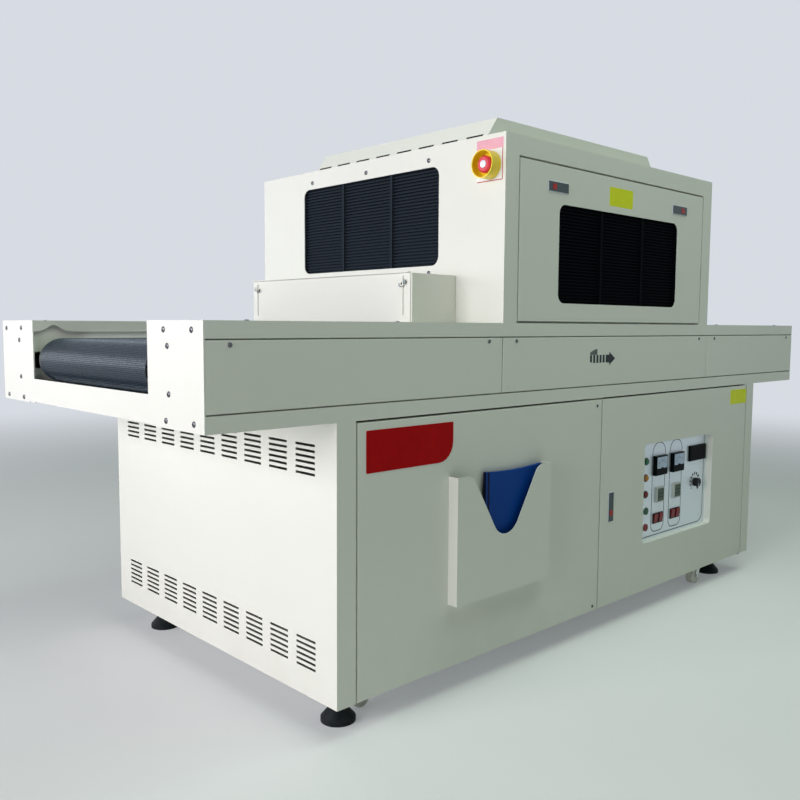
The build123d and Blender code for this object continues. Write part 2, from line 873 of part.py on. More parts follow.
def tunnel_box():
    x0 = hood_infeed - box_length
    top = beam_top + box_height
    plane = Plane(origin=(x0, 0, 0), x_dir=(0, 1, 0), z_dir=(1, 0, 0))
    points = [(box_front, beam_top), (box_front, top), (box_rear, top), (box_rear, beam_top)]
    body = folded(plane, points, box_length, Side.RIGHT)
    groove_x = hood_infeed - box_groove_width
    groove = block(groove_x, hood_infeed, box_front - 1, box_rear + 1, beam_top, top + 1)
    groove -= block(groove_x, hood_infeed, box_front + box_groove_depth, box_rear - box_groove_depth,
                    beam_top, top - box_groove_depth)
    body -= groove
    for side_y, sign in ((box_front, 1), (box_rear, -1)):
        spot_y = side_y + sign * gate_slot_inset
        y_low, y_high = sorted((side_y, spot_y + sign * gate_slot_width))
        body += block(x0, x0 + sheet, y_low, y_high, beam_top, top)
        knob_x = x0 - 2 * gate_slide_gap - gate_thickness
        stud_length = x0 + sheet - knob_x
        stud = Cylinder(gate_stud_diameter / 2, stud_length, rotation=(0, 90, 0))
        knob = Cylinder(gate_knob_diameter / 2, gate_knob_length, rotation=(0, 90, 0))
        body += Pos(knob_x + stud_length / 2, spot_y, top - gate_stud_drop) * stud
        body += Pos(knob_x - gate_knob_length / 2, spot_y, top - gate_stud_drop) * knob
    return body


def gate():
    x1 = hood_infeed - box_length - gate_slide_gap
    x0 = x1 - gate_thickness
    y0 = box_front + gate_side_inset
    y1 = box_rear - gate_side_inset
    z1 = beam_top + box_height + gate_thickness + gate_flange_gap
    body = block(x0, x1, y0, y1, beam_top + gate_foot_gap, z1)
    body += block(x0 - gate_flange, x1, y0, y1, z1 - gate_thickness, z1)
    for side_y, sign in ((box_front, 1), (box_rear, -1)):
        spot_y = side_y + sign * gate_slot_inset
        z0 = beam_top + gate_slot_bottom
        body -= block(x0 - 1, x1 + 1, spot_y - gate_slot_width / 2, spot_y + gate_slot_width / 2,
                      z0, z0 + gate_slot_length)
    return body


# Emergency stop: a yellow guard ring with its base, and the mushroom inside it.
stop_y = front + stop_front_inset
stop_z = hood_top - stop_drop
stop_plane = Plane(origin=(hood_infeed, stop_y, stop_z), x_dir=(0, -1, 0), z_dir=(-1, 0, 0))


def stop_turned(points):
    return stop_plane.location * revolve(Plane.XZ * make_face(Polyline(*points, close=True)), Axis.Z)


def stop_guard():
    rim = guard_diameter / 2
    well = mushroom_stem_diameter / 2 + stop_clearance
    return stop_turned([
        (well, 0), (rim, 0), (rim, guard_depth), (rim - guard_wall, guard_depth),
        (rim - guard_wall, guard_base), (well, guard_base),
    ])


def stop_button():
    root = stop_travel + stop_clearance
    stem = mushroom_stem_diameter / 2
    rim = mushroom_diameter / 2
    neck = mushroom_reach - mushroom_height
    return stop_turned([
        (0, root), (stem, root), (stem, neck), (rim, neck), (rim, mushroom_reach - mushroom_bevel),
        (rim - mushroom_bevel, mushroom_reach), (0, mushroom_reach),
    ])


# Levelling feet: a rubber cone on the floor and a steel stem up to the base.
def foot():
    rim = foot_diameter / 2
    neck = foot_neck_diameter / 2
    stem = foot_stem_diameter / 2
    profile = make_face(Polyline(
        (0, 0), (rim, 0), (rim, foot_rim_height), (neck, foot_cone_height), (stem, foot_cone_height),
        (stem, cabinet_bottom), (0, cabinet_bottom), close=True,
    ))
    return revolve(Plane.XZ * profile, Axis.Z)


def levelling_feet():
    feet = []
    for x in (cabinet_infeed + foot_infeed_inset, cabinet_outfeed - foot_outfeed_inset):
        for y in (front + foot_front_inset, cabinet_rear - foot_rear_inset):
            feet.append(Pos(x, y, 0) * foot())
    return feet


wheel_level = wheel_floor_gap + wheel_diameter / 2


def caster_spots():
    spots = []
    for end, x, inset in (("infeed", cabinet_infeed + caster_infeed_inset, caster_infeed_side_inset),
                          ("outfeed", cabinet_outfeed - caster_outfeed_inset, caster_outfeed_side_inset)):
        spots.append(("front_" + end, x, front + inset))
        spots.append(("rear_" + end, x, cabinet_rear - inset))
    return spots


# Swivel fork: a crown and two cheeks that hold the axle, turning on the plate's kingpin.
def caster_fork(x, y):
    half = wheel_width / 2 + wheel_clearance
    width = 2 * (half + fork_sheet)
    top = cabinet_bottom - fork_plate_thickness - swivel_clearance
    crown_half = fork_crown_width / 2
    toe = wheel_level - fork_toe_drop
    cheek_face = make_face(Polyline(
        (-crown_half, top), (-caster_trail - fork_toe_back, toe),
        (-caster_trail + fork_toe_front, toe - fork_toe_drop), (crown_half, top), close=True,
    ))
    body = Pos(0, 0, top - fork_sheet / 2) * Box(fork_crown_width, width, fork_sheet)
    for cheek_y in (half, -half - fork_sheet):
        body += extrude(Plane.XZ.offset(-cheek_y) * cheek_face, -fork_sheet)
    body += Pos(-caster_trail, 0, wheel_level) * Cylinder(axle_diameter / 2, width, rotation=(90, 0, 0))
    pivot = Pos(0, 0, top) * Cylinder(kingpin_diameter / 2 + kingpin_clearance, 3 * fork_sheet)
    return Pos(x, y, 0) * (body - pivot)


def caster_wheel(x, y):
    rim = Cylinder(wheel_diameter / 2, wheel_width, rotation=(90, 0, 0))
    bore = Cylinder(axle_diameter / 2 + axle_clearance, wheel_width + 1, rotation=(90, 0, 0))
    return Pos(x - caster_trail, y, wheel_level) * (rim - bore)


def caster_plates():
    reach = fork_plate_thickness + swivel_clearance + fork_sheet
    plate = Pos(0, 0, -fork_plate_thickness / 2) * Box(fork_plate, fork_plate, fork_plate_thickness)
    kingpin = Pos(0, 0, -reach / 2) * Cylinder(kingpin_diameter / 2, reach)
    spots = [Pos(x, y, cabinet_bottom) for name, x, y in caster_spots()]
    return [spot * (plate + kingpin) for spot in spots]


pieces["beam_front_box"] = side_box()
pieces["beam_rear_box"] = rear_twin(pieces["beam_front_box"])
pieces["front_covers"] = beam_covers()
pieces["rear_covers"] = [rear_twin(piece) for piece in beam_covers()]
pieces["infeed_end_plate"] = end_plate()
pieces["outfeed_end_plate"] = outfeed_twin(end_plate())
pieces["belt_pan"] = belt_pan()
pieces["conveyor_belt"] = conveyor_belt()
pieces["infeed_drum"] = drum(infeed_drum_x)
pieces["outfeed_drum"] = drum(outfeed_drum_x)
pieces["drum_bearings"] = bearing_blocks(infeed_drum_x) + bearing_blocks(outfeed_drum_x)
pieces["belt_bed"] = belt_bed()
pieces["cabinet_infeed_end"] = cabinet_end()
turned_end = Pos(cabinet_infeed + cabinet_outfeed, 0, 0) * outfeed_twin(cabinet_end())
pieces["cabinet_outfeed_end"] = turned_end
pieces["cabinet_base"] = cabinet_base()
pieces["centre_posts"] = centre_posts()
pieces["front_panel"] = front_panel()
pieces["rear_panels"] = rear_panels()
pieces["control_door"] = control_door()
pieces["door_hinges"] = hinge_pins()
pieces["control_panel"] = control_panel()
pieces["panel_meters"] = panel_meters()
pieces["panel_timers"] = panel_timers()
pieces["rocker_switches"] = rocker_switches()
pieces["indicator_lamps"] = indicator_lamps()
pieces["push_buttons"] = push_buttons()
pieces["speed_display"] = speed_display()
pieces["speed_knob"] = speed_knob()
pieces["cabinet_latch"] = cabinet_latch()
pieces["document_pocket"] = document_pocket()
pieces["document_folder"] = document_folder()
pieces["hood_wrap"] = hood_wrap()
pieces["hood_infeed_end"] = hood_end()
hood_shift = hood_infeed + hood_outfeed
pieces["hood_outfeed_end"] = Pos(hood_shift, 0, 0) * outfeed_twin(hood_end())
pieces["hood_filters"] = [end_filter(), Pos(hood_shift, 0, 0) * outfeed_twin(end_filter())]
pieces["hood_door"] = hood_door()
pieces["hood_hinges"] = hood_hinges()
pieces["door_filter"] = door_filter()
pieces["hood_latches"] = hood_latches()
pieces["roof_cap"] = roof_cap()
pieces["lamp_housing"] = lamp_housing()
pieces["tunnel_boxes"] = [tunnel_box(), Pos(hood_shift, 0, 0) * outfeed_twin(tunnel_box())]
pieces["infeed_gate"] = gate()
pieces["outfeed_gate"] = Pos(hood_shift, 0, 0) * outfeed_twin(gate())
pieces["stop_guard"] = stop_guard()
pieces["stop_button"] = stop_button()
pieces["levelling_feet"] = levelling_feet()
pieces["caster_plates"] = caster_plates()
for spot_name, spot_x, spot_y in caster_spots():
    pieces["caster_fork_" + spot_name] = caster_fork(spot_x, spot_y)
    pieces["caster_wheel_" + spot_name] = caster_wheel(spot_x, spot_y)

os.makedirs("parts", exist_ok=True)
for name, piece in pieces.items():
    body = Compound(children=piece) if isinstance(piece, list) else piece
    export_step(body, "parts/" + name + ".step")
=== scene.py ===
# A conveyor curing oven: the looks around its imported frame, in metres.
import bmesh
import bpy
import math
from mathutils import Matrix, Vector


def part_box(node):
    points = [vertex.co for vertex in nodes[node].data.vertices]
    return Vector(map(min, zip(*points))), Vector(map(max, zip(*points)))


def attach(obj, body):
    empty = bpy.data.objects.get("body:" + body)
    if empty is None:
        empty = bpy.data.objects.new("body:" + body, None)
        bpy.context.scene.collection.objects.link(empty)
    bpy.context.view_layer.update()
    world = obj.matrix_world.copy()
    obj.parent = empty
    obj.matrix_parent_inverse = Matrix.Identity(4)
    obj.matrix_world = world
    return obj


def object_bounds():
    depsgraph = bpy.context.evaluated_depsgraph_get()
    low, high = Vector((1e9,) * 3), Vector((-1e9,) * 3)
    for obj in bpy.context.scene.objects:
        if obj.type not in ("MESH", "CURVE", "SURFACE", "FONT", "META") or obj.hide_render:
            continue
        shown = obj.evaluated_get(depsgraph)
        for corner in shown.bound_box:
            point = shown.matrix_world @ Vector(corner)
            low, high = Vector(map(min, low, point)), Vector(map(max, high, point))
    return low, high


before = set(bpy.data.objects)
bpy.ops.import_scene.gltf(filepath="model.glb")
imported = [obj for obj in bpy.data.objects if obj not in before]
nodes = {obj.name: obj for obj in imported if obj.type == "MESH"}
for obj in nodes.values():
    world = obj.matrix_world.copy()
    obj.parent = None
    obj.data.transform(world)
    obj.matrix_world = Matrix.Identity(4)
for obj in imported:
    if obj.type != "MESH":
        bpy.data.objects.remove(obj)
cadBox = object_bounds()
print("frame:", len(nodes), "nodes")

# Edges that the pieces are placed from
infeedEnd = cadBox[0][0]
outfeedEnd = cadBox[1][0]
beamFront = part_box("beam_front_box")[0].y
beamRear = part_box("beam_rear_box")[1].y
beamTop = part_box("beam_front_box")[1].z
middleX = (infeedEnd + outfeedEnd) / 2
panelLow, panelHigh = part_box("control_panel")
trayWall = 0.0015
recessFloor = panelHigh.y - trayWall


def middleOf(name):
    low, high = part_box(name)
    return [(a + b) / 2 for a, b in zip(low, high)]


# Shader maths: a number on its way through a material
class Value:
    def __init__(self, recipe, socket):
        self.recipe = recipe
        self.socket = socket

    def __add__(self, other):
        return self.recipe.math("ADD", self, other)

    def __sub__(self, other):
        return self.recipe.math("SUBTRACT", self, other)

    def __rsub__(self, other):
        return self.recipe.math("SUBTRACT", other, self)

    def __mul__(self, other):
        return self.recipe.math("MULTIPLY", self, other)

    def __gt__(self, other):
        return self.recipe.math("GREATER_THAN", self, other)

    def __lt__(self, other):
        return self.recipe.math("LESS_THAN", self, other)

    __radd__ = __add__
    __rmul__ = __mul__


# Where the useful part of a noise begins and ends. The scales of noises and waves are so many to the metre.
noiseSpan = (0.3, 0.7)


# One material, or the world: its nodes are added from Python values, with sockets by name or by index
class Recipe:
    def __init__(self, name, plain, kind="materials", shader="Principled BSDF"):
        self.made = getattr(bpy.data, kind).new(name)
        self.made.use_nodes = True
        self.tree = self.made.node_tree
        self.shader = self.tree.nodes[shader]
        self.feed(self.shader, plain)
        self.spot = None

    def feed(self, node, sockets):
        for key, given in sockets.items():
            if isinstance(given, Value):
                self.tree.links.new(given.socket, node.inputs[key])
            elif isinstance(given, tuple) and len(given) == 3 and node.inputs[key].type == "RGBA":
                node.inputs[key].default_value = (*given, 1)
            else:
                node.inputs[key].default_value = given

    def node(self, kind, settings, sockets, out=0):
        made = self.tree.nodes.new("ShaderNode" + kind)
        for key, given in settings.items():
            setattr(made, key, given)
        self.feed(made, sockets)
        return Value(self, made.outputs[out])

    def math(self, operation, first, second):
        return self.node("Math", {"operation": operation}, {0: first, 1: second})

    def mix(self, factor, first, second):
        return self.node("Mix", {"data_type": "RGBA"}, {0: factor, 6: first, 7: second}, 2)

    def place(self):
        if self.spot is None:
            self.spot = self.node("TexCoord", {}, {}, 3)
        return self.spot

    def axes(self):
        parts = self.node("SeparateXYZ", {}, {0: self.place()}).socket.node
        return [Value(self, parts.outputs[i]) for i in range(3)]

    def stretched(self, x, y, z):
        return self.node("VectorMath", {"operation": "MULTIPLY"}, {0: self.place(), 1: (x, y, z)})

    def noise(self, scale, detail, place=None):
        return self.node("TexNoise", {}, {"Vector": place or self.place(), "Scale": scale, "Detail": detail})

    def ramp(self, given, start, end, low, high):
        return self.node("MapRange", {}, {0: given, 1: start, 2: end, 3: low, 4: high})

    def between(self, noise, low=0.0, high=1.0):
        return self.ramp(noise, *noiseSpan, low, high)

    def bump(self, height, depth, strength):
        normal = self.node("Bump", {}, {"Height": height, "Distance": depth, "Strength": strength})
        self.feed(self.shader, {"Normal": normal})

    def finished(self, sockets):
        self.feed(self.shader, sockets)
        return self.made

    def surface(self, color, rough, **more):
        return self.finished({"Base Color": color, "Roughness": rough, **more})


# Powder coat: a warm ivory with a fine orange peel, a little dust on what faces up and near the floor
coat = {
    "ivory": (0.81, 0.82, 0.765), "ivoryDeep": (0.78, 0.79, 0.735), "dust": (0.52, 0.5, 0.43),
    "dustHeights": (0.22, 0.07), "dustNearFloor": 0.22, "facingUp": (0.7, 1.0), "dustOnTop": 0.12,
    "dustRoughness": 0.3, "cloud": 1.7, "smear": 9.0, "mottle": 34.0,
    "peel": 620.0, "peelDepth": 0.00011, "roughness": (0.4, 0.5),
}


def ivoryCoat():
    recipe = Recipe("ivory_powder_coat", {"Coat Weight": 0.12, "Coat Roughness": 0.3, "IOR": 1.48})
    height = recipe.axes()[2]
    cloud = recipe.between(recipe.noise(coat["cloud"], 4.0))
    color = recipe.mix(cloud, coat["ivory"], coat["ivoryDeep"])
    smear = recipe.between(recipe.noise(coat["smear"], 5.0, recipe.stretched(1.0, 1.0, 0.45)))
    low = recipe.ramp(height, *coat["dustHeights"], 0.0, coat["dustNearFloor"])
    upward = recipe.node("SeparateXYZ", {}, {0: recipe.node("NewGeometry", {}, {}, 1)}, 2)
    lying = recipe.ramp(upward, *coat["facingUp"], 0.0, coat["dustOnTop"])
    dusty = recipe.math("MAXIMUM", low, lying) * smear
    color = recipe.mix(dusty, color, coat["dust"])
    peel = recipe.noise(coat["peel"], 1.0)
    recipe.bump(peel, coat["peelDepth"], 0.55)
    mottle = recipe.between(recipe.noise(coat["mottle"], 2.0), *coat["roughness"])
    rough = mottle + dusty * coat["dustRoughness"]
    return recipe.surface(color, rough)


# Metals: plated or turned, with fine lines, so many to the metre along each axis
metal = {"spangle": 90.0, "spangleShare": 0.5, "lineShare": 0.4, "lineDepth": 0.00002, "roughSpread": 0.12}
zinc = (0.62, 0.63, 0.64)


def platedMetal(name, light, dark, lines, rough):
    recipe = Recipe(name, {"Metallic": 1.0})
    spangle = recipe.between(recipe.noise(metal["spangle"], 3.0))
    grain = recipe.between(recipe.noise(1.0, 2.0, recipe.stretched(*lines)))
    color = recipe.mix(spangle * metal["spangleShare"] + grain * metal["lineShare"], light, dark)
    recipe.bump(grain, metal["lineDepth"], 0.5)
    return recipe.surface(color, grain * metal["roughSpread"] + rough)


# Mouldings, prints and stickers: one colour with a faint cloud and a fine grain
moulding = {"cloud": 40.0, "grain": (900.0, 0.00004), "roughSpread": 0.08, "coatRoughness": 0.08}


def plastic(name, color, deep, rough, grain=moulding["grain"], coated=0.0, shine=0.5):
    recipe = Recipe(name, {"Coat Weight": coated, "Coat Roughness": moulding["coatRoughness"],
                           "Specular IOR Level": shine})
    tone = recipe.between(recipe.noise(moulding["cloud"], 3.0))
    grainPerMetre, depth = grain
    recipe.bump(recipe.noise(grainPerMetre, 2.0), depth, 0.4)
    shade = recipe.mix(tone, color, deep)
    return recipe.surface(shade, tone * moulding["roughSpread"] + rough)


# Filter fins: coarse black felt
felt = {"fibres": 700.0, "flattening": 2.6, "depth": 0.0006, "roughness": 0.62, "roughSpread": 0.15}


def filterFelt(name, dark, light, shine):
    recipe = Recipe(name, {"Specular IOR Level": shine})
    fibre = recipe.noise(felt["fibres"], 5.0, recipe.stretched(1.0, 1.0, felt["flattening"]))
    tone = recipe.between(fibre)
    color = recipe.mix(tone, dark, light)
    recipe.bump(fibre, felt["depth"], 0.5)
    return recipe.surface(color, tone * felt["roughSpread"] + felt["roughness"])


# Belt: coated strands crossing every few millimetres, dark between them
belt = {
    "strandPitch": 0.004, "strandWidth": 0.0015, "strandRise": 0.0004, "arcSteps": 20,
    "strand": (0.005, 0.014, 0.026), "strandWorn": (0.018, 0.04, 0.068), "sheen": (0.72, 0.87, 1.0),
    "wear": 140.0, "strandRoughness": 0.24, "ground": (0.003, 0.005, 0.009),
    "groundWorn": (0.01, 0.015, 0.023), "weave": 420.0,
}


def strandCoat():
    recipe = Recipe("belt_strand", {"Specular IOR Level": 0.6, "Specular Tint": belt["sheen"]})
    worn = recipe.between(recipe.noise(belt["wear"], 4.0))
    fine = recipe.noise(1500.0, 2.0)
    color = recipe.mix(worn, belt["strand"], belt["strandWorn"])
    recipe.bump(fine, 0.0001, 0.5)
    return recipe.surface(color, worn * 0.12 + belt["strandRoughness"])


def beltGround():
    recipe = Recipe("belt_ground", {"Specular IOR Level": 0.3})
    weave = recipe.noise(belt["weave"], 2.0)
    color = recipe.mix(recipe.between(weave), belt["ground"], belt["groundWorn"])
    recipe.bump(weave, 0.0004, 0.6)
    return recipe.surface(color, 0.6)


# A part of one colour whose raised front has others: the front ends at a depth behind the foremost point, bands
# are heights about the part's middle with the colour above each, and a plate is a further depth with its colour
def raisedFront(name, node, body, front, depth, rough, coated, bands=(), metallic=0.0, plate=None):
    recipe = Recipe(name, {"Coat Weight": coated, "Coat Roughness": 0.1, "Specular IOR Level": 0.2})
    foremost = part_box(node)[0].y
    y, z = recipe.axes()[1:]
    raised = y < foremost + depth
    for level, shade in bands:
        front = recipe.mix(z > middleOf(node)[2] + level, front, shade)
    tone = recipe.between(recipe.noise(60.0, 3.0), 0.9, 1.0)
    recipe.bump(recipe.noise(800.0, 2.0), 0.00004, 0.3)
    metalPart = 1.0 - raised
    if plate:
        onPlate = y < foremost + plate[0]
        body = recipe.mix(onPlate, body, plate[1])
        metalPart = 1.0 - onPlate
    shade = recipe.mix(raised, body, front)
    shade = recipe.mix(tone, (0.0, 0.0, 0.0), shade)
    return recipe.surface(shade, tone * 0.1 + rough, Metallic=metalPart * metallic)


# Meshes: drawings are made flat, with u to the right, v up and w out of the face, and then seated on it
facings = {
    "front": Matrix(((1, 0, 0), (0, 0, -1), (0, 1, 0))),
    "rear": Matrix(((-1, 0, 0), (0, 0, 1), (0, 1, 0))),
    "infeed": Matrix(((0, 0, -1), (-1, 0, 0), (0, 1, 0))),
    "outfeed": Matrix(((0, 0, 1), (1, 0, 0), (0, 1, 0))),
    "top": Matrix(((1, 0, 0), (0, 1, 0), (0, 0, 1))),
}


def seat(facing, x, y, z):
    return Matrix.Translation((x, y, z)) @ facings[facing].to_4x4()


def turnedBy(degrees):
    return Matrix.Rotation(math.radians(degrees), 4, "Z")


def addObject(name, data):
    made = bpy.data.objects.new(name, data)
    bpy.context.scene.collection.objects.link(made)
    return made


def meshFrom(bm, name):
    mesh = bpy.data.meshes.new(name)
    bm.to_mesh(mesh)
    bm.free()
    return mesh


def closePiece(name, bm, finish, body, smoothAngle=35.0):
    bmesh.ops.recalc_face_normals(bm, faces=bm.faces)
    mesh = meshFrom(bm, name)
    mesh.materials.append(finishes[finish])
    mesh.shade_smooth()
    mesh.set_sharp_from_angle(angle=math.radians(smoothAngle))
    piece = addObject(name, mesh)
    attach(piece, body)


# Faces between two loops of as many points
def bridge(bm, lower, upper):
    for i in range(len(lower)):
        j = (i + 1) % len(lower)
        bm.faces.new((lower[i], lower[j], upper[j], upper[i]))


# A closed slab of any outline, with its front edge eased where ease is given
def slab(bm, outline, low, high, spot, ease=0.0):
    rings = [(low, 0.0), (high - ease, 0.0)]
    if ease:
        rings.append((high, ease))
    count = len(outline)
    middle = (sum(p[0] for p in outline) / count, sum(p[1] for p in outline) / count)
    spread = max(max(abs(p[0] - middle[0]), abs(p[1] - middle[1])) for p in outline)
    loops = []
    for w, inset in rings:
        share = 1 - inset / spread
        eased = [(middle[0] + (u - middle[0]) * share, middle[1] + (v - middle[1]) * share) for u, v in outline]
        loops.append([bm.verts.new(spot @ Vector((u, v, w))) for u, v in eased])
    for lower, upper in zip(loops, loops[1:]):
        bridge(bm, lower, upper)
    bm.faces.new(loops[-1])
    bm.faces.new(loops[0][::-1])


def slabPiece(name, outline, low, high, spot, finish, body, ease=0.0):
    bm = bmesh.new()
    slab(bm, outline, low, high, spot, ease)
    closePiece(name, bm, finish, body)


# Angles are in degrees
def arcPath(radius, first, last, steps, u0, v0):
    angles = [math.radians(first + (last - first) * i / steps) for i in range(steps + 1)]
    return [(u0 + radius * math.cos(angle), v0 + radius * math.sin(angle)) for angle in angles]


# A rectangle with its corners rounded, counter-clockwise from the lower right one
def rounded(width, height, radii, steps=6, u0=0.0, v0=0.0):
    if not isinstance(radii, tuple):
        radii = (radii,) * 4
    points = []
    signs = ((1, -1), (1, 1), (-1, 1), (-1, -1))
    for corner, ((su, sv), radius) in enumerate(zip(signs, radii)):
        cu = u0 + su * (width / 2 - radius)
        cv = v0 + sv * (height / 2 - radius)
        first = 90 * corner - 90
        points += arcPath(radius, first, first + 90, steps, cu, cv) if radius else [(cu, cv)]
    return points


# A turned form: the profile's (radius, height) pairs run from the base's axis to the top's
def turned(bm, profile, spot, steps):
    rings = []
    for radius, height in profile:
        angles = [2 * math.pi * i / steps for i in range(steps if radius else 1)]
        points = [Vector((radius * math.cos(angle), radius * math.sin(angle), height)) for angle in angles]
        rings.append([bm.verts.new(spot @ point) for point in points])
    for lower, upper in zip(rings, rings[1:]):
        if len(lower) == len(upper):
            bridge(bm, lower, upper)
            continue
        for i in range(steps):
            j = (i + 1) % steps
            bm.faces.new((lower[0], upper[j], upper[i]) if len(lower) == 1 else (lower[i], lower[j], upper[0]))


# A flat line of some width along a path
def ribbon(bm, path, width, rise, spot, closed=False):
    count = len(path)
    sides = []
    for i, (u, v) in enumerate(path):
        before = path[i - 1] if closed or i else path[0]
        after = path[(i + 1) % count] if closed or i < count - 1 else path[-1]
        run = Vector((after[0] - before[0], after[1] - before[1])).normalized()
        across = Vector((-run.y, run.x)) * width / 2
        quad = []
        for side, w in ((1, 0.0), (-1, 0.0), (-1, rise), (1, rise)):
            quad.append(bm.verts.new(spot @ Vector((u + side * across.x, v + side * across.y, w))))
        sides.append(quad)
    for i in range(count if closed else count - 1):
        bridge(bm, sides[i], sides[(i + 1) % count])
    if not closed:
        bm.faces.new(sides[0])
        bm.faces.new(sides[-1][::-1])


print("helpers ready")

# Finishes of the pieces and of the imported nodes, which are ivory where no other is named below
finishes = {
    "ivory": ivoryCoat(),
    "zinc": platedMetal("zinc_plate", zinc, (0.5, 0.52, 0.55), (30.0, 30.0, 900.0), 0.28),
    "drum": platedMetal("turned_drum", (0.3, 0.305, 0.31), (0.16, 0.165, 0.17), (700.0, 700.0, 12.0), 0.42),
    "screw": platedMetal("nickel_screw", (0.2, 0.205, 0.215), (0.07, 0.075, 0.085), (500.0, 500.0, 500.0), 0.2),
    "felt": filterFelt("filter_felt", (0.005, 0.009, 0.015), (0.014, 0.023, 0.036), 0.15),
    "doorFelt": filterFelt("door_filter_felt", (0.0005, 0.0015, 0.0025), (0.002, 0.004, 0.006), 0.03),
    "belt": beltGround(),
    "strand": strandCoat(),
    "black": plastic("black_gloss", (0.0015, 0.003, 0.004), (0.003, 0.005, 0.006), 0.25, shine=0.04),
    "matteBlack": plastic("black_matte", (0.005, 0.006, 0.007), (0.012, 0.013, 0.015), 0.5, shine=0.2),
    "nylon": plastic("white_nylon", (0.8, 0.79, 0.73), (0.68, 0.67, 0.6), 0.35, (300.0, 0.00006)),
    "bezel": plastic("timer_bezel", (0.5, 0.52, 0.5), (0.44, 0.46, 0.44), 0.45),
    "red": plastic("plate_red", (0.5, 0.004, 0.006), (0.44, 0.003, 0.005), 0.35, shine=0.06),
    "yellow": plastic("sticker_yellow", (0.86, 0.92, 0.02), (0.8, 0.86, 0.015), 0.4, shine=0.2),
    "guard": plastic("guard_yellow", (0.98, 0.77, 0.018), (0.92, 0.7, 0.014), 0.3, coated=0.2),
    "stop": plastic("stop_red", (0.78, 0.045, 0.08), (0.7, 0.03, 0.06), 0.3, coated=0.3),
    "ink": plastic("printed_ink", (0.014, 0.018, 0.022), (0.02, 0.025, 0.03), 0.45, shine=0.2),
    "paper": plastic("sticker_white", (0.86, 0.86, 0.86), (0.82, 0.82, 0.83), 0.35, coated=0.2),
    "pink": plastic("sticker_pink", (0.83, 0.42, 0.52), (0.8, 0.36, 0.47), 0.35, coated=0.2),
    "arrowFold": plastic("arrow_fold_ink", (0.07, 0.09, 0.08), (0.1, 0.12, 0.1), 0.45),
    "dial": plastic("meter_dial", (0.5, 0.6, 0.82), (0.57, 0.66, 0.87), 0.3, shine=0.3),
    "glass": plastic("timer_glass", (0.06, 0.095, 0.075), (0.075, 0.115, 0.09), 0.3, shine=0.2),
    "segment": plastic("timer_segment", (0.11, 0.16, 0.13), (0.14, 0.19, 0.155), 0.4, shine=0.2),
    "display": plastic("display_window", (0.001, 0.002, 0.003), (0.002, 0.003, 0.004), 0.2, shine=0.03),
}

corners = ("front_infeed", "front_outfeed", "rear_infeed", "rear_outfeed")
nodeFinishes = {
    "zinc": ["belt_bed", "door_hinges", "hood_hinges", "lamp_housing", "caster_plates",
             *("caster_fork_" + corner for corner in corners)],
    "drum": ["infeed_drum", "outfeed_drum", "drum_bearings"],
    "felt": ["hood_filters"],
    "doorFelt": ["door_filter"],
    "belt": ["conveyor_belt"],
    "black": ["panel_meters", "speed_display"],
    "matteBlack": ["speed_knob"],
    "nylon": ["caster_wheel_" + corner for corner in corners],
    "bezel": ["panel_timers"],
    "guard": ["stop_guard"],
    "stop": ["stop_button"],
}


def coatNode(name, material):
    mesh = nodes[name].data
    mesh.materials.clear()
    mesh.materials.append(material)


for name in nodes:
    coatNode(name, finishes["ivory"])
for finish, names in nodeFinishes.items():
    for name in names:
        coatNode(name, finishes[finish])

# Latches, lamps, buttons and rockers
latch = {
    "body": (0.62, 0.66, 0.7), "front": (0.5, 0.03, 0.025), "depth": 0.0009, "rough": 0.3, "coated": 0.1,
    "metallic": 0.8, "plate": (0.0012, (0.07, 0.1, 0.115)),
}
raisedFronts = {
    "hood_latches": ("hood_latches_finish", latch),
    "cabinet_latch": ("cabinet_latch_finish", latch),
    "indicator_lamps": ("lamp_lenses", {
        "body": (0.05, 0.052, 0.055), "front": (0.2, 0.005, 0.012), "depth": 0.0034, "rough": 0.2, "coated": 0.2,
        "bands": ((-0.025, (0.55, 0.2, 0.01)), (0.025, (0.005, 0.16, 0.06))),
    }),
    "push_buttons": ("button_caps", {
        "body": (0.75, 0.77, 0.78), "front": (0.24, 0.008, 0.014), "depth": 0.0029, "rough": 0.2, "coated": 0.2,
        "metallic": 0.9, "bands": ((0.0, (0.006, 0.1, 0.045)),),
    }),
    "rocker_switches": ("rocker_caps", {
        "body": (0.004, 0.005, 0.006), "front": (0.27, 0.012, 0.02), "depth": 0.0039, "rough": 0.2, "coated": 0.15,
    }),
}
for name, (finish, values) in raisedFronts.items():
    coatNode(name, raisedFront(finish, name, **values))

# Folder: blue leather paper, with two dark bands along its left edge that are painted shadow
folder = {
    "blue": (0.002, 0.058, 0.33), "blueDeep": (0.002, 0.05, 0.28), "band": (0.0002, 0.001, 0.022),
    "bands": ((-0.001, 0.0035), (0.0085, 0.0155)), "leather": 900.0, "leatherDepth": 0.00025,
}


def folderFinish():
    recipe = Recipe("folder_blue", {"Specular IOR Level": 0.12})
    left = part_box("document_folder")[0].x
    x = recipe.axes()[0]
    leather = recipe.noise(folder["leather"], 4.0)
    color = recipe.mix(recipe.between(leather), folder["blue"], folder["blueDeep"])
    # Painted shadow: two dark bands along the folder's left edge
    for first, last in folder["bands"]:
        color = recipe.mix((x > left + first) * (x < left + last), color, folder["band"])
    recipe.bump(leather, folder["leatherDepth"], 0.6)
    return recipe.surface(color, leather * 0.1 + 0.45)


coatNode("document_folder", folderFinish())


# Feet: rubber cones, with the threaded stems above them zinc plated
foot = {
    "rubber": (0.006, 0.009, 0.011), "rubberScuffed": (0.018, 0.022, 0.024), "scuff": 60.0,
    "stemStart": 0.0345, "thread": 210.0, "threadDepth": 0.0008,
}


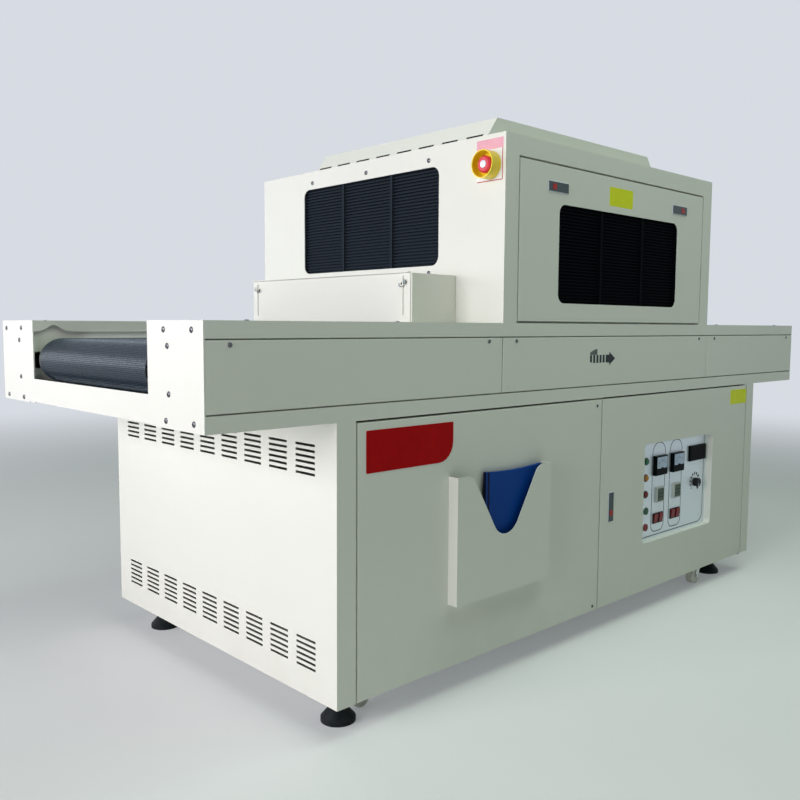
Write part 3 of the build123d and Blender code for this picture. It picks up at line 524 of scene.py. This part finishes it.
def footFinish():
    recipe = Recipe("foot_and_stem", {"Specular IOR Level": 0.12})
    stem = recipe.axes()[2] > foot["stemStart"]
    thread = recipe.node("TexWave", {"bands_direction": "Z"},
                         {"Vector": recipe.place(), "Scale": foot["thread"]})
    scuff = recipe.between(recipe.noise(foot["scuff"], 4.0))
    rubber = recipe.mix(scuff, foot["rubber"], foot["rubberScuffed"])
    color = recipe.mix(stem, rubber, zinc)
    recipe.bump(thread * stem, foot["threadDepth"], 0.7)
    rough = recipe.mix(stem, (0.55, 0.55, 0.55), (0.3, 0.3, 0.3))
    return recipe.surface(color, rough, Metallic=stem)


coatNode("levelling_feet", footFinish())

# Control panel: brushed film on the tray's back, powder coat on its walls
film = {
    "light": (0.74, 0.81, 0.85), "deep": (0.68, 0.75, 0.79), "metallic": 0.8, "lines": 2600.0,
    "lineDepth": 0.00002, "nearer": 0.0002, "farther": 0.0003,
}


def panelFinish():
    recipe = Recipe("panel_film", {})
    y = recipe.axes()[1]
    back = (y > recessFloor - film["nearer"]) * (y < recessFloor + film["farther"])
    grain = recipe.between(recipe.noise(1.0, 2.0, recipe.stretched(8.0, 1.0, film["lines"])))
    color = recipe.mix(grain, film["light"], film["deep"])
    color = recipe.mix(back, coat["ivory"], color)
    recipe.bump(grain * back, film["lineDepth"], 0.5)
    return recipe.surface(color, grain * 0.1 + 0.42, Metallic=back * film["metallic"])


coatNode("control_panel", panelFinish())
print("finishes on the nodes")

# Screws: one pan head with a cross recess is carved at a radius of 1, and its copies are turned by unlike angles
screw = {
    "dome": [(0, -0.02), (1.0, -0.02), (1.0, 0.08), (0.93, 0.21), (0.72, 0.34), (0.4, 0.41), (0, 0.42)],
    "recessWidth": 0.24, "recessReach": 0.62, "recessHeights": (0.12, 0.6), "turnStep": 37,
    "plateRadius": 0.0059, "coverRadius": 0.005, "hoodRadius": 0.006, "panelRadius": 0.0045,
}


def carvedHead():
    bm = bmesh.new()
    turned(bm, screw["dome"], Matrix(), 28)
    head = addObject("screwHead", meshFrom(bm, "screwHead"))
    half = screw["recessWidth"] / 2
    reach = screw["recessReach"]
    cross = []
    for quarter in range(4):
        turn = Matrix.Rotation(math.pi / 2 * quarter, 2)
        cross += [tuple(turn @ Vector(p)) for p in ((reach, -half), (reach, half), (half, half))]
    bm = bmesh.new()
    slab(bm, cross, *screw["recessHeights"], Matrix())
    cutter = addObject("screwCross", meshFrom(bm, "screwCross"))
    carve = head.modifiers.new("recess", "BOOLEAN")
    carve.operation = "DIFFERENCE"
    carve.object = cutter
    bpy.context.view_layer.update()
    carved = bpy.data.meshes.new_from_object(head.evaluated_get(bpy.context.evaluated_depsgraph_get()))
    for piece in (head, cutter):
        bpy.data.objects.remove(piece)
    return carved


screwMesh = carvedHead()


def screws(name, places):
    bm = bmesh.new()
    for index, (facing, x, y, z, radius) in enumerate(places):
        before = len(bm.verts)
        bm.from_mesh(screwMesh)
        bm.verts.ensure_lookup_table()
        spot = seat(facing, x, y, z) @ turnedBy(screw["turnStep"] * index % 90) @ Matrix.Scale(radius, 4)
        bmesh.ops.transform(bm, matrix=spot, verts=bm.verts[before:])
    closePiece(name, bm, "screw", "oven", 30.0)


# The same screws at both ends, measured from the front and the floor
def endScrews(holes, infeedX, outfeedX, radius):
    ends = (("infeed", infeedX), ("outfeed", outfeedX))
    return [(facing, x, beamFront + across, level, radius) for across, level in holes for facing, x in ends]


plateScrews = [
    (0.978, 0.841), (0.874, 0.842), (0.889, 0.812), (0.884, 0.7215), (0.9725, 0.672), (0.869, 0.671),
    (0.1425, 0.843), (0.040, 0.843), (0.129, 0.813), (0.126, 0.724), (0.138, 0.674), (0.036, 0.676),
]
screws("end_plate_screws", endScrews(plateScrews, infeedEnd, outfeedEnd, screw["plateRadius"]))

# Screws of the beam's covers and of its top, measured from the infeed end
coverScrews = {"along": (0.053, 0.749, 0.849, 1.749, 1.850, 2.402), "high": 0.817, "low": 0.703}
topScrews = {"along": (0.101, 0.476, 1.9, 2.343), "inset": 0.02}
radius = screw["coverRadius"]
places = []
for along in coverScrews["along"]:
    places.append(("front", infeedEnd + along, beamFront, coverScrews["high"], radius))
    for level in (coverScrews["high"], coverScrews["low"]):
        places.append(("rear", infeedEnd + along, beamRear, level, radius))
for along in topScrews["along"]:
    for y in (beamFront + topScrews["inset"], beamRear - topScrews["inset"]):
        places.append(("top", infeedEnd + along, y, beamTop, radius))
screws("beam_screws", places)

# Screws of the hood's ends, and of the fixed panels, from the panels' edges
hoodScrews = [(0.738, 1.270), (0.496, 1.270), (0.253, 1.270), (0.250, 0.987)]
panelScrews = {"side": 0.022, "bottom": 0.013, "top": 0.016, "besideBreak": 0.03}
places = endScrews(hoodScrews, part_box("hood_infeed_end")[0].x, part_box("hood_outfeed_end")[1].x, screw["hoodRadius"])
inset = panelScrews["side"]
nearBreak = panelScrews["besideBreak"]
radius = screw["panelRadius"]
low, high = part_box("front_panel")
for level in (low.z + panelScrews["bottom"], high.z - panelScrews["top"]):
    places.append(("front", high.x - inset, low.y, level, radius))
low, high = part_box("rear_panels")
for x in (low.x + inset, high.x - inset, middleX - nearBreak, middleX + nearBreak):
    for level in (low.z + panelScrews["bottom"], high.z - panelScrews["top"]):
        places.append(("rear", x, high.y, level, radius))
screws("panel_screws", places)
print("screws in place")

# Plates on the fronts, placed from the infeed end and the floor: a red one at the cabinet's upper left with one
# large rounded corner, and yellow stickers on both doors
frontPlates = {
    "red_plate": {
        "along": (0.371, 0.630), "levels": (0.549, 0.638), "corners": (0.045, 0.002, 0.002, 0.002),
        "thickness": 0.0009, "on": "front_panel", "finish": "red", "body": "oven", "slot": "switch_red",
    },
    "hood_sticker": {
        "along": (1.231, 1.345), "levels": (1.176, 1.226), "corners": 0.002,
        "thickness": 0.0003, "on": "hood_door", "finish": "yellow", "body": "hood_door", "slot": "guard_yellow",
    },
    "door_sticker": {
        "along": (1.979, 2.095), "levels": (0.596, 0.644), "corners": 0.002,
        "thickness": 0.0003, "on": "control_door", "finish": "yellow", "body": "control_door", "slot": "guard_yellow",
    },
}


def frontPlate(name, along, levels, corners, thickness, on, finish, body, slot):
    left, right = along
    low, high = levels
    spot = seat("front", infeedEnd + (left + right) / 2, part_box(on)[0].y, (low + high) / 2)
    outline = rounded(right - left, high - low, corners)
    slabPiece(name, outline, 0.0, thickness, spot, finish, body, thickness * 0.4)


for name, values in frontPlates.items():
    frontPlate(name, **values)

# Direction arrow on the middle cover: a banded shaft, a head and the paler fold above. Lengths along it are
# shares of its own length.
arrow = {
    "left": 1.158, "right": 1.278, "middle": 0.766, "thickness": 0.0003,
    "shaft": 0.021, "bands": 5, "bandEnd": 0.62, "bandShare": 0.62, "firstDrop": 0.004,
    "head": 0.036, "headStart": 0.76, "headGap": 0.0002,
    "fold": ((0, 0.0006), (0.28, 0.0006), (0.28, 0.017), (0.14, 0.0135), (0, 0.007)),
}


def directionArrow():
    spot = seat("front", infeedEnd + arrow["left"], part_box("front_covers")[0].y, arrow["middle"])
    rise = arrow["thickness"]
    length = arrow["right"] - arrow["left"]
    half = arrow["shaft"] / 2
    headStart = length * arrow["headStart"]
    bandEnd = length * arrow["bandEnd"]
    pitch = bandEnd / arrow["bands"]
    bm = bmesh.new()
    slab(bm, [(bandEnd, -half), (headStart, -half), (headStart, half), (bandEnd, half)], 0, rise, spot)
    barb = headStart + arrow["headGap"]
    slab(bm, [(barb, -arrow["head"] / 2), (length, 0), (barb, arrow["head"] / 2)], 0, rise, spot)
    for i in range(arrow["bands"]):
        left = i * pitch
        right = left + pitch * arrow["bandShare"]
        drop = arrow["firstDrop"] if i == 0 else 0.0
        slab(bm, [(left, -half + drop), (right, -half), (right, half), (left, half)], 0, rise, spot)
    closePiece("arrow_ink", bm, "ink", "oven")
    fold = [(length * along, half + over) for along, over in arrow["fold"]]
    slabPiece("arrow_fold", fold, 0, rise * 0.8, spot, "arrowFold", "oven")


directionArrow()

# Sticker behind the emergency stop: white, a pink band above and a thin red line on two sides. The stop's cap
# has a metal centre, a turned form of (radius, height) pairs.
sticker = {
    "across": (0.0075, 0.090), "levels": (1.193, 1.292), "corner": 0.001, "thickness": 0.00025,
    "band": 0.024, "line": 0.002, "lineInset": 0.002, "overprint": 1.6,
}
stopCentre = [(0.0, -0.001), (0.0092, -0.001), (0.0092, 0.0003), (0.0084, 0.0011), (0.003, 0.0013), (0.0, 0.0013)]


def emergencySticker():
    near, far = sticker["across"]
    low, high = sticker["levels"]
    width = far - near
    height = high - low
    spot = seat("infeed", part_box("hood_infeed_end")[0].x, beamFront + (near + far) / 2, (low + high) / 2)
    band = sticker["band"]
    corner = sticker["corner"]
    rise = sticker["thickness"]
    printRise = rise * sticker["overprint"]
    slabPiece("stop_sticker", rounded(width, height, corner), 0, rise, spot, "paper", "oven")
    pink = rounded(width, band, corner, v0=height / 2 - band / 2)
    slabPiece("stop_sticker_band", pink, rise, printRise, spot, "pink", "oven")
    bm = bmesh.new()
    side = width / 2 - sticker["lineInset"]
    bottom = -height / 2 + sticker["lineInset"]
    for path in ([(side, height / 2 - band), (side, bottom)], [(side, bottom), (-side, bottom)]):
        ribbon(bm, path, sticker["line"], printRise, spot)
    closePiece("stop_sticker_line", bm, "red", "oven")


def stopCap():
    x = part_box("stop_button")[0].x
    y, z = middleOf("stop_button")[1:]
    bm = bmesh.new()
    turned(bm, stopCentre, seat("infeed", x, y, z), 32)
    closePiece("stop_centre", bm, "zinc", "stop_button")


emergencySticker()
stopCap()
print("plates and stickers in place")

# Belt strands: lengthwise ones follow the loop, and cross ones lie on it
beltLow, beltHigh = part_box("conveyor_belt")


# Gives a function from a distance along the loop to a point there and the way out of the belt
def beltLoop():
    radius = (beltHigh.z - beltLow.z) / 2
    level = (beltHigh.z + beltLow.z) / 2
    left = beltLow.x + radius
    right = beltHigh.x - radius
    around = math.pi * radius
    straight = right - left

    # The upper run and the outfeed drum, then the lower run and the infeed drum
    def at(distance):
        upper = distance < straight + around
        way = 1 if upper else -1
        if not upper:
            distance -= straight + around
        if distance < straight:
            x = left + distance if upper else right - distance
            return Vector((x, 0, level + way * radius)), Vector((0, 0, way))
        angle = way * math.pi / 2 - (distance - straight) / radius
        out = Vector((math.cos(angle), 0, math.sin(angle)))
        return Vector((right if upper else left, 0, level)) + out * radius, out

    return at, 2 * straight + 2 * around, straight, around


def beltStrands():
    at, total, straight, around = beltLoop()
    half = belt["strandWidth"] / 2
    rise = belt["strandRise"]
    bm = bmesh.new()
    count = int(total / belt["strandPitch"])
    for i in range(count):
        point, out = at((i + 0.5) * total / count)
        run = Vector((out.z, 0, -out.x))
        ring = []
        for y in (beltLow.y, beltHigh.y):
            for along, lift in ((-half, -rise), (half, -rise), (half * 0.5, rise), (-half * 0.5, rise)):
                ring.append(bm.verts.new(point + run * along + out * lift + Vector((0, y, 0))))
        bridge(bm, ring[:4], ring[4:])
    closePiece("belt_cross_strands", bm, "strand", "oven", 60)
    stations = []
    for start in (straight, 2 * straight + around):
        stations += [start + around * i / belt["arcSteps"] for i in range(belt["arcSteps"] + 1)]
    bm = bmesh.new()
    rows = int((beltHigh.y - beltLow.y) / belt["strandPitch"])
    for i in range(rows):
        y = beltLow.y + (i + 0.5) * (beltHigh.y - beltLow.y) / rows
        rings = []
        for distance in stations:
            point, out = at(min(distance, total - 1e-6))
            ring = []
            for side, lift in ((-half, -rise), (-half * 0.5, rise * 0.8), (half * 0.5, rise * 0.8), (half, -rise)):
                ring.append(bm.verts.new(point + out * lift + Vector((0, y + side, 0))))
            rings.append(ring)
        for here, there in zip(rings, rings[1:] + rings[:1]):
            for a in range(3):
                bm.faces.new((here[a], here[a + 1], there[a + 1], there[a]))
    closePiece("belt_long_strands", bm, "strand", "oven", 60)


beltStrands()
print("belt strands laid")

# Control panel: printed outlines, meters, timers, dial marks and the knob's pointer
panelX = panelLow.x + trayWall
panelZ = panelLow.z + trayWall
ink = {"line": 0.0026, "rise": 0.00012}
capsule = {"halfWidth": 0.0365, "levels": (0.018, 0.291), "foot": 0.022, "crownShare": 0.86}
border = {"left": 0.004, "right": 0.403, "low": 0.0075, "high": 0.292, "corner": 0.03}


def panelPiece(name, bm, finish, body="control_door"):
    closePiece(name, bm, finish, body)


# Centres of a pair of like instruments, measured from the panel's left edge
def pairColumns(name, width):
    low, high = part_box(name)
    return (low.x + width / 2 - panelX, high.x - width / 2 - panelX)


# Face: a dial above a hump, with an arc, its marks and a needle about a pivot below. Angles are in degrees.
meter = {
    "width": 0.066, "window": 0.058, "windowHeight": 0.035, "topMargin": 0.004, "lift": 0.0003,
    "hump": 0.0052, "humpWidth": 0.0085, "dip": 0.0012, "humpSteps": 16,
    "pivotDrop": 0.006, "arc": 0.029, "first": 48, "last": 132, "marks": 11, "mark": 0.0028, "longMark": 0.0045,
    "line": 0.0005, "lineRise": 0.0001, "needle": 131, "needleReach": (0.013, 0.031), "needleWidth": 0.0006,
    "rim": 0.0009, "rimRise": 0.0005, "rimMargin": 0.0022,
}
# Face: two rows of digits, two lines and a row of keys. Levels and pitches are shares of the window.
timer = {
    "width": 0.042, "window": 0.036, "windowHeight": 0.038, "margin": 0.001, "sink": 0.001, "glass": 0.0006,
    "lines": (0.12, -0.2), "line": 0.0009, "lineInset": 0.002,
    "digitRows": ((0.3, 0.0095), (-0.04, 0.0066)), "digits": 4, "digitPitch": 0.22, "segment": 0.0008,
    "keys": 4, "keyPitch": 0.23, "keyLevel": -0.34, "keySize": (0.0062, 0.0052), "keyRise": 0.0005,
}


def panelPrint():
    bm = bmesh.new()
    low, high = capsule["levels"]
    base = capsule["foot"]
    crown = capsule["halfWidth"] * capsule["crownShare"]
    path = rounded(2 * capsule["halfWidth"], high - low, (base, crown, crown, base), 8)
    for column in pairColumns("panel_meters", meter["width"]):
        spot = seat("front", panelX + column, recessFloor, panelZ + (low + high) / 2)
        ribbon(bm, path, ink["line"], ink["rise"], spot, True)
    corner = border["corner"]
    path = [(border["left"], border["low"]), (border["right"] - corner, border["low"])]
    path += arcPath(corner, -90, 0, 8, border["right"] - corner, border["low"] + corner)
    path.append((border["right"], border["high"]))
    ribbon(bm, path, ink["line"], ink["rise"], seat("front", panelX, recessFloor, panelZ))
    panelPiece("panel_print", bm, "ink")


def meterFaces():
    low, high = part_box("panel_meters")
    dials, marks, rims = (bmesh.new() for _ in range(3))
    half = meter["window"] / 2
    top = (high.z - low.z) / 2 - meter["topMargin"]
    bottom = top - meter["windowHeight"]
    pivot = bottom - meter["pivotDrop"]
    outline = []
    for i in range(meter["humpSteps"] + 1):
        u = -half + meter["window"] * i / meter["humpSteps"]
        hump = meter["hump"] * math.exp(-((u / meter["humpWidth"]) ** 2))
        outline.append((u, bottom + hump - meter["dip"] * math.cos(u / half * math.pi)))
    outline += [(half, top), (-half, top)]
    arc = arcPath(meter["arc"], meter["first"], meter["last"], 14, 0, pivot)
    for column in pairColumns("panel_meters", meter["width"]):
        spot = seat("front", panelX + column, low.y, middleOf("panel_meters")[2])
        face = spot @ Matrix.Translation((0, 0, meter["lift"]))
        slab(dials, outline, 0, meter["lift"], spot)
        ribbon(marks, arc, meter["line"], meter["lineRise"], face)

        def ray(degrees, inner, outer, width, rise):
            angle = math.radians(degrees)
            path = [(r * math.cos(angle), pivot + r * math.sin(angle)) for r in (inner, outer)]
            ribbon(marks, path, width, rise, face)

        for i in range(meter["marks"]):
            degrees = meter["first"] + (meter["last"] - meter["first"]) * i / (meter["marks"] - 1)
            reach = meter["arc"] + (meter["longMark"] if i % 5 == 0 else meter["mark"])
            ray(degrees, meter["arc"], reach, meter["line"], meter["lineRise"])
        ray(meter["needle"], *meter["needleReach"], meter["needleWidth"], 3 * meter["lineRise"])
        rim = rounded(meter["window"] + meter["rimMargin"], meter["windowHeight"] + meter["rimMargin"], 0.001, 3,
                      v0=(top + bottom) / 2)
        ribbon(rims, rim, meter["rim"], meter["rimRise"], spot, True)
    panelPiece("meter_dials", dials, "dial")
    panelPiece("meter_marks", marks, "ink")
    panelPiece("meter_rims", rims, "black")


def timerFaces():
    glass, digits, lines = (bmesh.new() for _ in range(3))
    wide = timer["window"]
    tall = timer["windowHeight"]
    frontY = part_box("panel_timers")[0].y + timer["sink"]
    for column in pairColumns("panel_timers", timer["width"]):
        spot = seat("front", panelX + column, frontY, middleOf("panel_timers")[2])
        pane = rounded(wide - timer["margin"], tall - timer["margin"], 0.001, 3)
        slab(glass, pane, -0.0002, timer["glass"], spot)
        face = spot @ Matrix.Translation((0, 0, timer["glass"]))
        end = wide / 2 - timer["lineInset"]
        for share in timer["lines"]:
            ribbon(lines, [(-end, tall * share), (end, tall * share)], timer["line"], 0.0002, face)
        for share, size in timer["digitRows"]:
            row = tall * share
            for digit in range(timer["digits"]):
                u = (digit - (timer["digits"] - 1) / 2) * wide * timer["digitPitch"]
                ribbon(digits, rounded(size * 0.55, size, 0.0005, 2, u, row), timer["segment"], 0.0001, face, True)
                ribbon(digits, [(u - size * 0.27, row), (u + size * 0.27, row)], timer["segment"], 0.0001, face)
        for key in range(timer["keys"]):
            u = (key - (timer["keys"] - 1) / 2) * wide * timer["keyPitch"]
            cap = rounded(*timer["keySize"], 0.001, 3, u, tall * timer["keyLevel"])
            slab(digits, cap, 0, timer["keyRise"], face, 0.0002)
    panelPiece("timer_faces", glass, "glass")
    panelPiece("timer_digits", digits, "segment")
    panelPiece("timer_lines", lines, "matteBlack")


# Speed dial: blocks that grow clockwise round the knob. Angles are in degrees.
dial = {
    "inner": 0.0235, "marks": 11, "first": 225.0, "sweep": 270.0,
    "length": 0.006, "lengthGrowth": 0.0055, "half": 0.0026, "halfGrowth": 0.0024, "taper": 0.8,
}
display = {"margin": 0.005, "corner": 0.002, "rise": 0.0004}
knob = {
    "pointer": -100.0, "pointerWidth": 0.0018, "pointerRise": 0.0003, "pointerShare": 0.6, "pointerMiddle": 0.58,
    "ribs": 24, "ribDepth": 0.0006, "ribSink": 0.0002, "ribRoot": 0.0006, "ribTip": 0.0003,
    "ribSpan": (0.001, 0.0125),
}


def speedDisplay():
    low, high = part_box("speed_display")
    x, _, z = middleOf("speed_display")
    margin = 2 * display["margin"]
    pane = rounded(high.x - low.x - margin, high.z - low.z - margin, display["corner"])
    slabPiece("display_window", pane, -0.0002, display["rise"], seat("front", x, low.y, z), "display",
              "control_door", 0.0002)


def speedDial():
    low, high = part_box("speed_knob")
    x, _, z = middleOf("speed_knob")
    radius = (high.x - low.x) / 2
    bm = bmesh.new()
    for i in range(dial["marks"]):
        share = i / (dial["marks"] - 1)
        reach = dial["inner"] + dial["length"] + dial["lengthGrowth"] * share
        half = dial["half"] + dial["halfGrowth"] * share
        root = half * dial["taper"]
        turn = turnedBy(dial["first"] - dial["sweep"] * share)
        block = [(dial["inner"], -root), (reach, -half), (reach, half), (dial["inner"], root)]
        slab(bm, block, 0, ink["rise"], seat("front", x, recessFloor, z) @ turn)
    panelPiece("dial_marks", bm, "ink")
    spot = seat("front", x, low.y, z) @ turnedBy(knob["pointer"])
    pointer = rounded(radius * knob["pointerShare"], knob["pointerWidth"], 0.0006, 3, radius * knob["pointerMiddle"])
    slabPiece("knob_pointer", pointer, -0.0002, knob["pointerRise"], spot, "paper", "speed_knob")
    bm = bmesh.new()
    inside = radius - knob["ribSink"]
    outside = radius + knob["ribDepth"]
    root = knob["ribRoot"]
    tip = knob["ribTip"]
    for i in range(knob["ribs"]):
        turn = Matrix.Rotation(2 * math.pi * i / knob["ribs"], 4, "Z")
        rib = [(inside, -root), (outside, -tip), (outside, tip), (inside, root)]
        slab(bm, rib, *knob["ribSpan"], seat("front", x, high.y, z) @ turn)
    panelPiece("knob_ribs", bm, "matteBlack", body="speed_knob")


panelPrint()
meterFaces()
timerFaces()
speedDisplay()
speedDial()
print("control panel dressed")

# Painted shade: dark strips behind the slots of the roof cap, standing in for the shade inside it
capShade = {"inset": 0.0042, "thickness": 0.0004, "height": 0.005, "lift": 0.0001, "sideGap": 0.005}


def capShadeStrips():
    low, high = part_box("roof_cap")
    y = middleOf("roof_cap")[1]
    height = capShade["height"]
    bm = bmesh.new()
    for facing, x in (("infeed", low.x + capShade["inset"]), ("outfeed", high.x - capShade["inset"])):
        spot = seat(facing, x, y, low.z + height / 2 + capShade["lift"])
        strip = rounded(high.y - low.y - 2 * capShade["sideGap"], height, 0.0)
        slab(bm, strip, -capShade["thickness"], 0.0, spot)
    # The dark strips are painted shade behind the slots
    closePiece("cap_painted_shade", bm, "matteBlack", "oven")


capShadeStrips()

# Dark shade inside the cabinet, behind the gap over its front panels
gapShade = {"behind": 0.034, "thickness": 0.001, "height": 0.016, "gapAbove": 0.0002, "sideInset": 0.03}


def gapShadeStrip():
    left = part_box("cabinet_infeed_end")[0].x + gapShade["sideInset"]
    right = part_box("cabinet_outfeed_end")[1].x - gapShade["sideInset"]
    spot = seat("front", (left + right) / 2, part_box("front_panel")[0].y + gapShade["behind"],
                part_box("beam_front_box")[0].z - gapShade["height"] / 2 - gapShade["gapAbove"])
    shade = rounded(right - left, gapShade["height"], 0.0)
    slabPiece("gap_shade", shade, -gapShade["thickness"], 0.0, spot, "matteBlack", "oven")


gapShadeStrip()

# Wings on the gates' clamp screws: two leaves round a turned hub of (radius, height) pairs
wing = {
    "thickness": 0.0018, "base": -0.004, "tilts": (24.0, -14.0), "slotInset": 0.027, "aboveBeam": 0.092,
    "leaf": ((0.0035, -0.0035), (0.0104, -0.0045), (0.013, 0.0005), (0.01118, 0.0065), (0.0035, 0.003)),
    "hub": [(0, -0.0055), (0.0052, -0.0055), (0.0048, -0.0015), (0.003, 0.0), (0, 0.0)],
}


def clampWings():
    low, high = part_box("tunnel_boxes")
    sides = (low.y + wing["slotInset"], high.y - wing["slotInset"])
    bm = bmesh.new()
    for facing, x in (("infeed", low.x), ("outfeed", high.x)):
        for y, tilt in zip(sides, wing["tilts"]):
            spot = seat(facing, x, y, beamTop + wing["aboveBeam"]) @ turnedBy(tilt)
            for side in (-1, 1):
                outline = [(side * u, v) for u, v in wing["leaf"]]
                slab(bm, outline[::side], wing["base"], wing["base"] + wing["thickness"], spot, 0.0003)
            turned(bm, wing["hub"], spot, 20)
    closePiece("clamp_wings", bm, "screw", "oven")


clampWings()

# Nuts under the cabinet on the feet's stems, and the casters' axle nuts: radius and height of each
nuts = {"stem": (0.0128, 0.009), "axle": (0.0065, 0.004), "stemGap": 0.0002, "rimShare": 0.86, "rimStart": 0.9}


def hexNut(bm, spot, radius, height):
    rim = (radius, height * nuts["rimStart"])
    turned(bm, [(0, 0), (radius, 0), rim, (radius * nuts["rimShare"], height), (0, height)], spot, 6)


# The feet share one mesh, so each one's middle is found from its vertices on the floor
def stemNuts():
    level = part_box("levelling_feet")[1].z - nuts["stem"][1] - nuts["stemGap"]
    onFloor = set()
    for vertex in nodes["levelling_feet"].data.vertices:
        if vertex.co.z < 0.0005:
            onFloor.add((round(vertex.co.x, 2), round(vertex.co.y, 2)))
    bm = bmesh.new()
    for right in (False, True):
        for back in (False, True):
            around = [p for p in onFloor if (p[0] > middleX) == right and (p[1] > 0) == back]
            x, y = ((min(values) + max(values)) / 2 for values in zip(*around))
            hexNut(bm, seat("top", x, y, level), *nuts["stem"])
    closePiece("stem_nuts", bm, "zinc", "oven")


def axleNuts(corner):
    fork = "caster_fork_" + corner
    low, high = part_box(fork)
    x, _, z = middleOf("caster_wheel_" + corner)
    bm = bmesh.new()
    hexNut(bm, seat("front", x, low.y, z), *nuts["axle"])
    hexNut(bm, seat("rear", x, high.y, z), *nuts["axle"])
    closePiece(fork + "_nuts", bm, "zinc", fork)


stemNuts()
for corner in corners:
    axleNuts(corner)
print("nuts and wings in place")

# Floor, backdrop and light: only rays that don't light the object see the floor glow
studio = {
    "floor": (0.78, 0.79, 0.8), "floorSize": 150, "backdrop": (0.68, 0.71, 0.765), "glowFrom": 2.2,
    "glowTo": 7.0, "leastGlow": 0.2, "fill": (0.76, 1.0, 0.8), "fillStrength": 0.1,
}
lamps = {
    "window_key": {"place": (-6.8, -0.1, 1.8), "target": (-0.3, 0.0, 0.8), "size": (4.2, 3.0),
                   "watts": 305.0, "tint": (1.0, 0.94, 0.975)},
    "window_rear": {"place": (-4.2, 4.2, 1.5), "target": (-1.2, 0.0, 0.75), "size": (3.6, 1.6),
                    "watts": 55.0, "tint": (0.9, 0.95, 1.0)},
    "ceiling": {"place": (0.4, -1.3, 3.4), "target": (0.2, -0.3, 0.5), "size": (3.6, 1.6),
                "watts": 43.0, "tint": (0.84, 1.0, 0.84)},
}


def studioFloor():
    recipe = Recipe("studio_floor", {"Roughness": 0.8, "Specular IOR Level": 0.0})
    speck = recipe.between(recipe.noise(3.0, 2.0))
    color = recipe.mix(speck, studio["floor"], tuple(c * 0.985 for c in studio["floor"]))
    distance = recipe.node("VectorMath", {"operation": "LENGTH"}, {0: recipe.place()}, 1)
    far = recipe.node("MapRange", {"interpolation_type": "SMOOTHSTEP"},
                      {0: distance, 1: studio["glowFrom"], 2: studio["glowTo"]})
    shown = 1.0 - recipe.node("LightPath", {}, {}, 2)
    share = far * (1.0 - studio["leastGlow"]) + studio["leastGlow"]
    glow = recipe.mix(share * shown, (0.0, 0.0, 0.0), studio["backdrop"])
    color = recipe.mix(far * shown, color, (0.0, 0.0, 0.0))
    bm = bmesh.new()
    bmesh.ops.create_grid(bm, x_segments=1, y_segments=1, size=studio["floorSize"])
    mesh = meshFrom(bm, "floor")
    mesh.materials.append(recipe.finished({"Base Color": color, "Emission Color": glow, "Emission Strength": 1.0}))
    floor = addObject("floor", mesh)


# World: the backdrop in what the camera and shiny things see, and a weak fill elsewhere
def studioWorld():
    recipe = Recipe("studio", {}, "worlds", "Background")
    rays = recipe.node("LightPath", {}, {}).socket.node.outputs
    shown = recipe.math("MAXIMUM", *(Value(recipe, rays[ray]) for ray in ("Is Camera Ray", "Is Glossy Ray")))
    tint = recipe.mix(shown, studio["fill"], studio["backdrop"])
    strength = recipe.ramp(shown, 0.0, 1.0, studio["fillStrength"], 1.0)
    bpy.context.scene.world = recipe.finished({"Color": tint, "Strength": strength})


def softLamp(name, place, target, size, watts, tint):
    light = bpy.data.lights.new(name, "AREA")
    light.shape = "RECTANGLE"
    light.size, light.size_y = size
    light.energy = watts
    light.color = tint
    lamp = addObject(name, light)
    lamp.location = place
    lamp.rotation_euler = (Vector(target) - Vector(place)).to_track_quat("-Z", "Y").to_euler()


# Camera: off the near infeed corner at the height of the beam. Angles are in degrees.
shot = {
    "place": (-1.9731, -1.7959, 0.8524), "yaw": 43.18, "pitch": -5.04, "roll": 0.32, "focalPixels": 843.51,
    "framePixels": 800, "sensor": 36,
}


def photographCamera():
    yaw, pitch, roll = (math.radians(shot[k]) for k in ("yaw", "pitch", "roll"))
    ahead = Vector((math.sin(yaw) * math.cos(pitch), math.cos(yaw) * math.cos(pitch), math.sin(pitch)))
    side = Vector((math.cos(yaw), -math.sin(yaw), 0))
    up = side.cross(ahead)
    right = side * math.cos(roll) + up * math.sin(roll)
    above = up * math.cos(roll) - side * math.sin(roll)
    lens = bpy.data.cameras.new("photo")
    lens.sensor_width = shot["sensor"]
    lens.lens = shot["sensor"] * shot["focalPixels"] / shot["framePixels"]
    camera = addObject("photo", lens)
    turn = Matrix((right, above, -ahead)).transposed().to_4x4()
    camera.matrix_world = Matrix.Translation(shot["place"]) @ turn
    bpy.context.scene.camera = camera


studioFloor()
studioWorld()
for name, values in lamps.items():
    softLamp(name, **values)
photographCamera()
bpy.context.scene.view_settings.view_transform = "Standard"
print("studio ready")
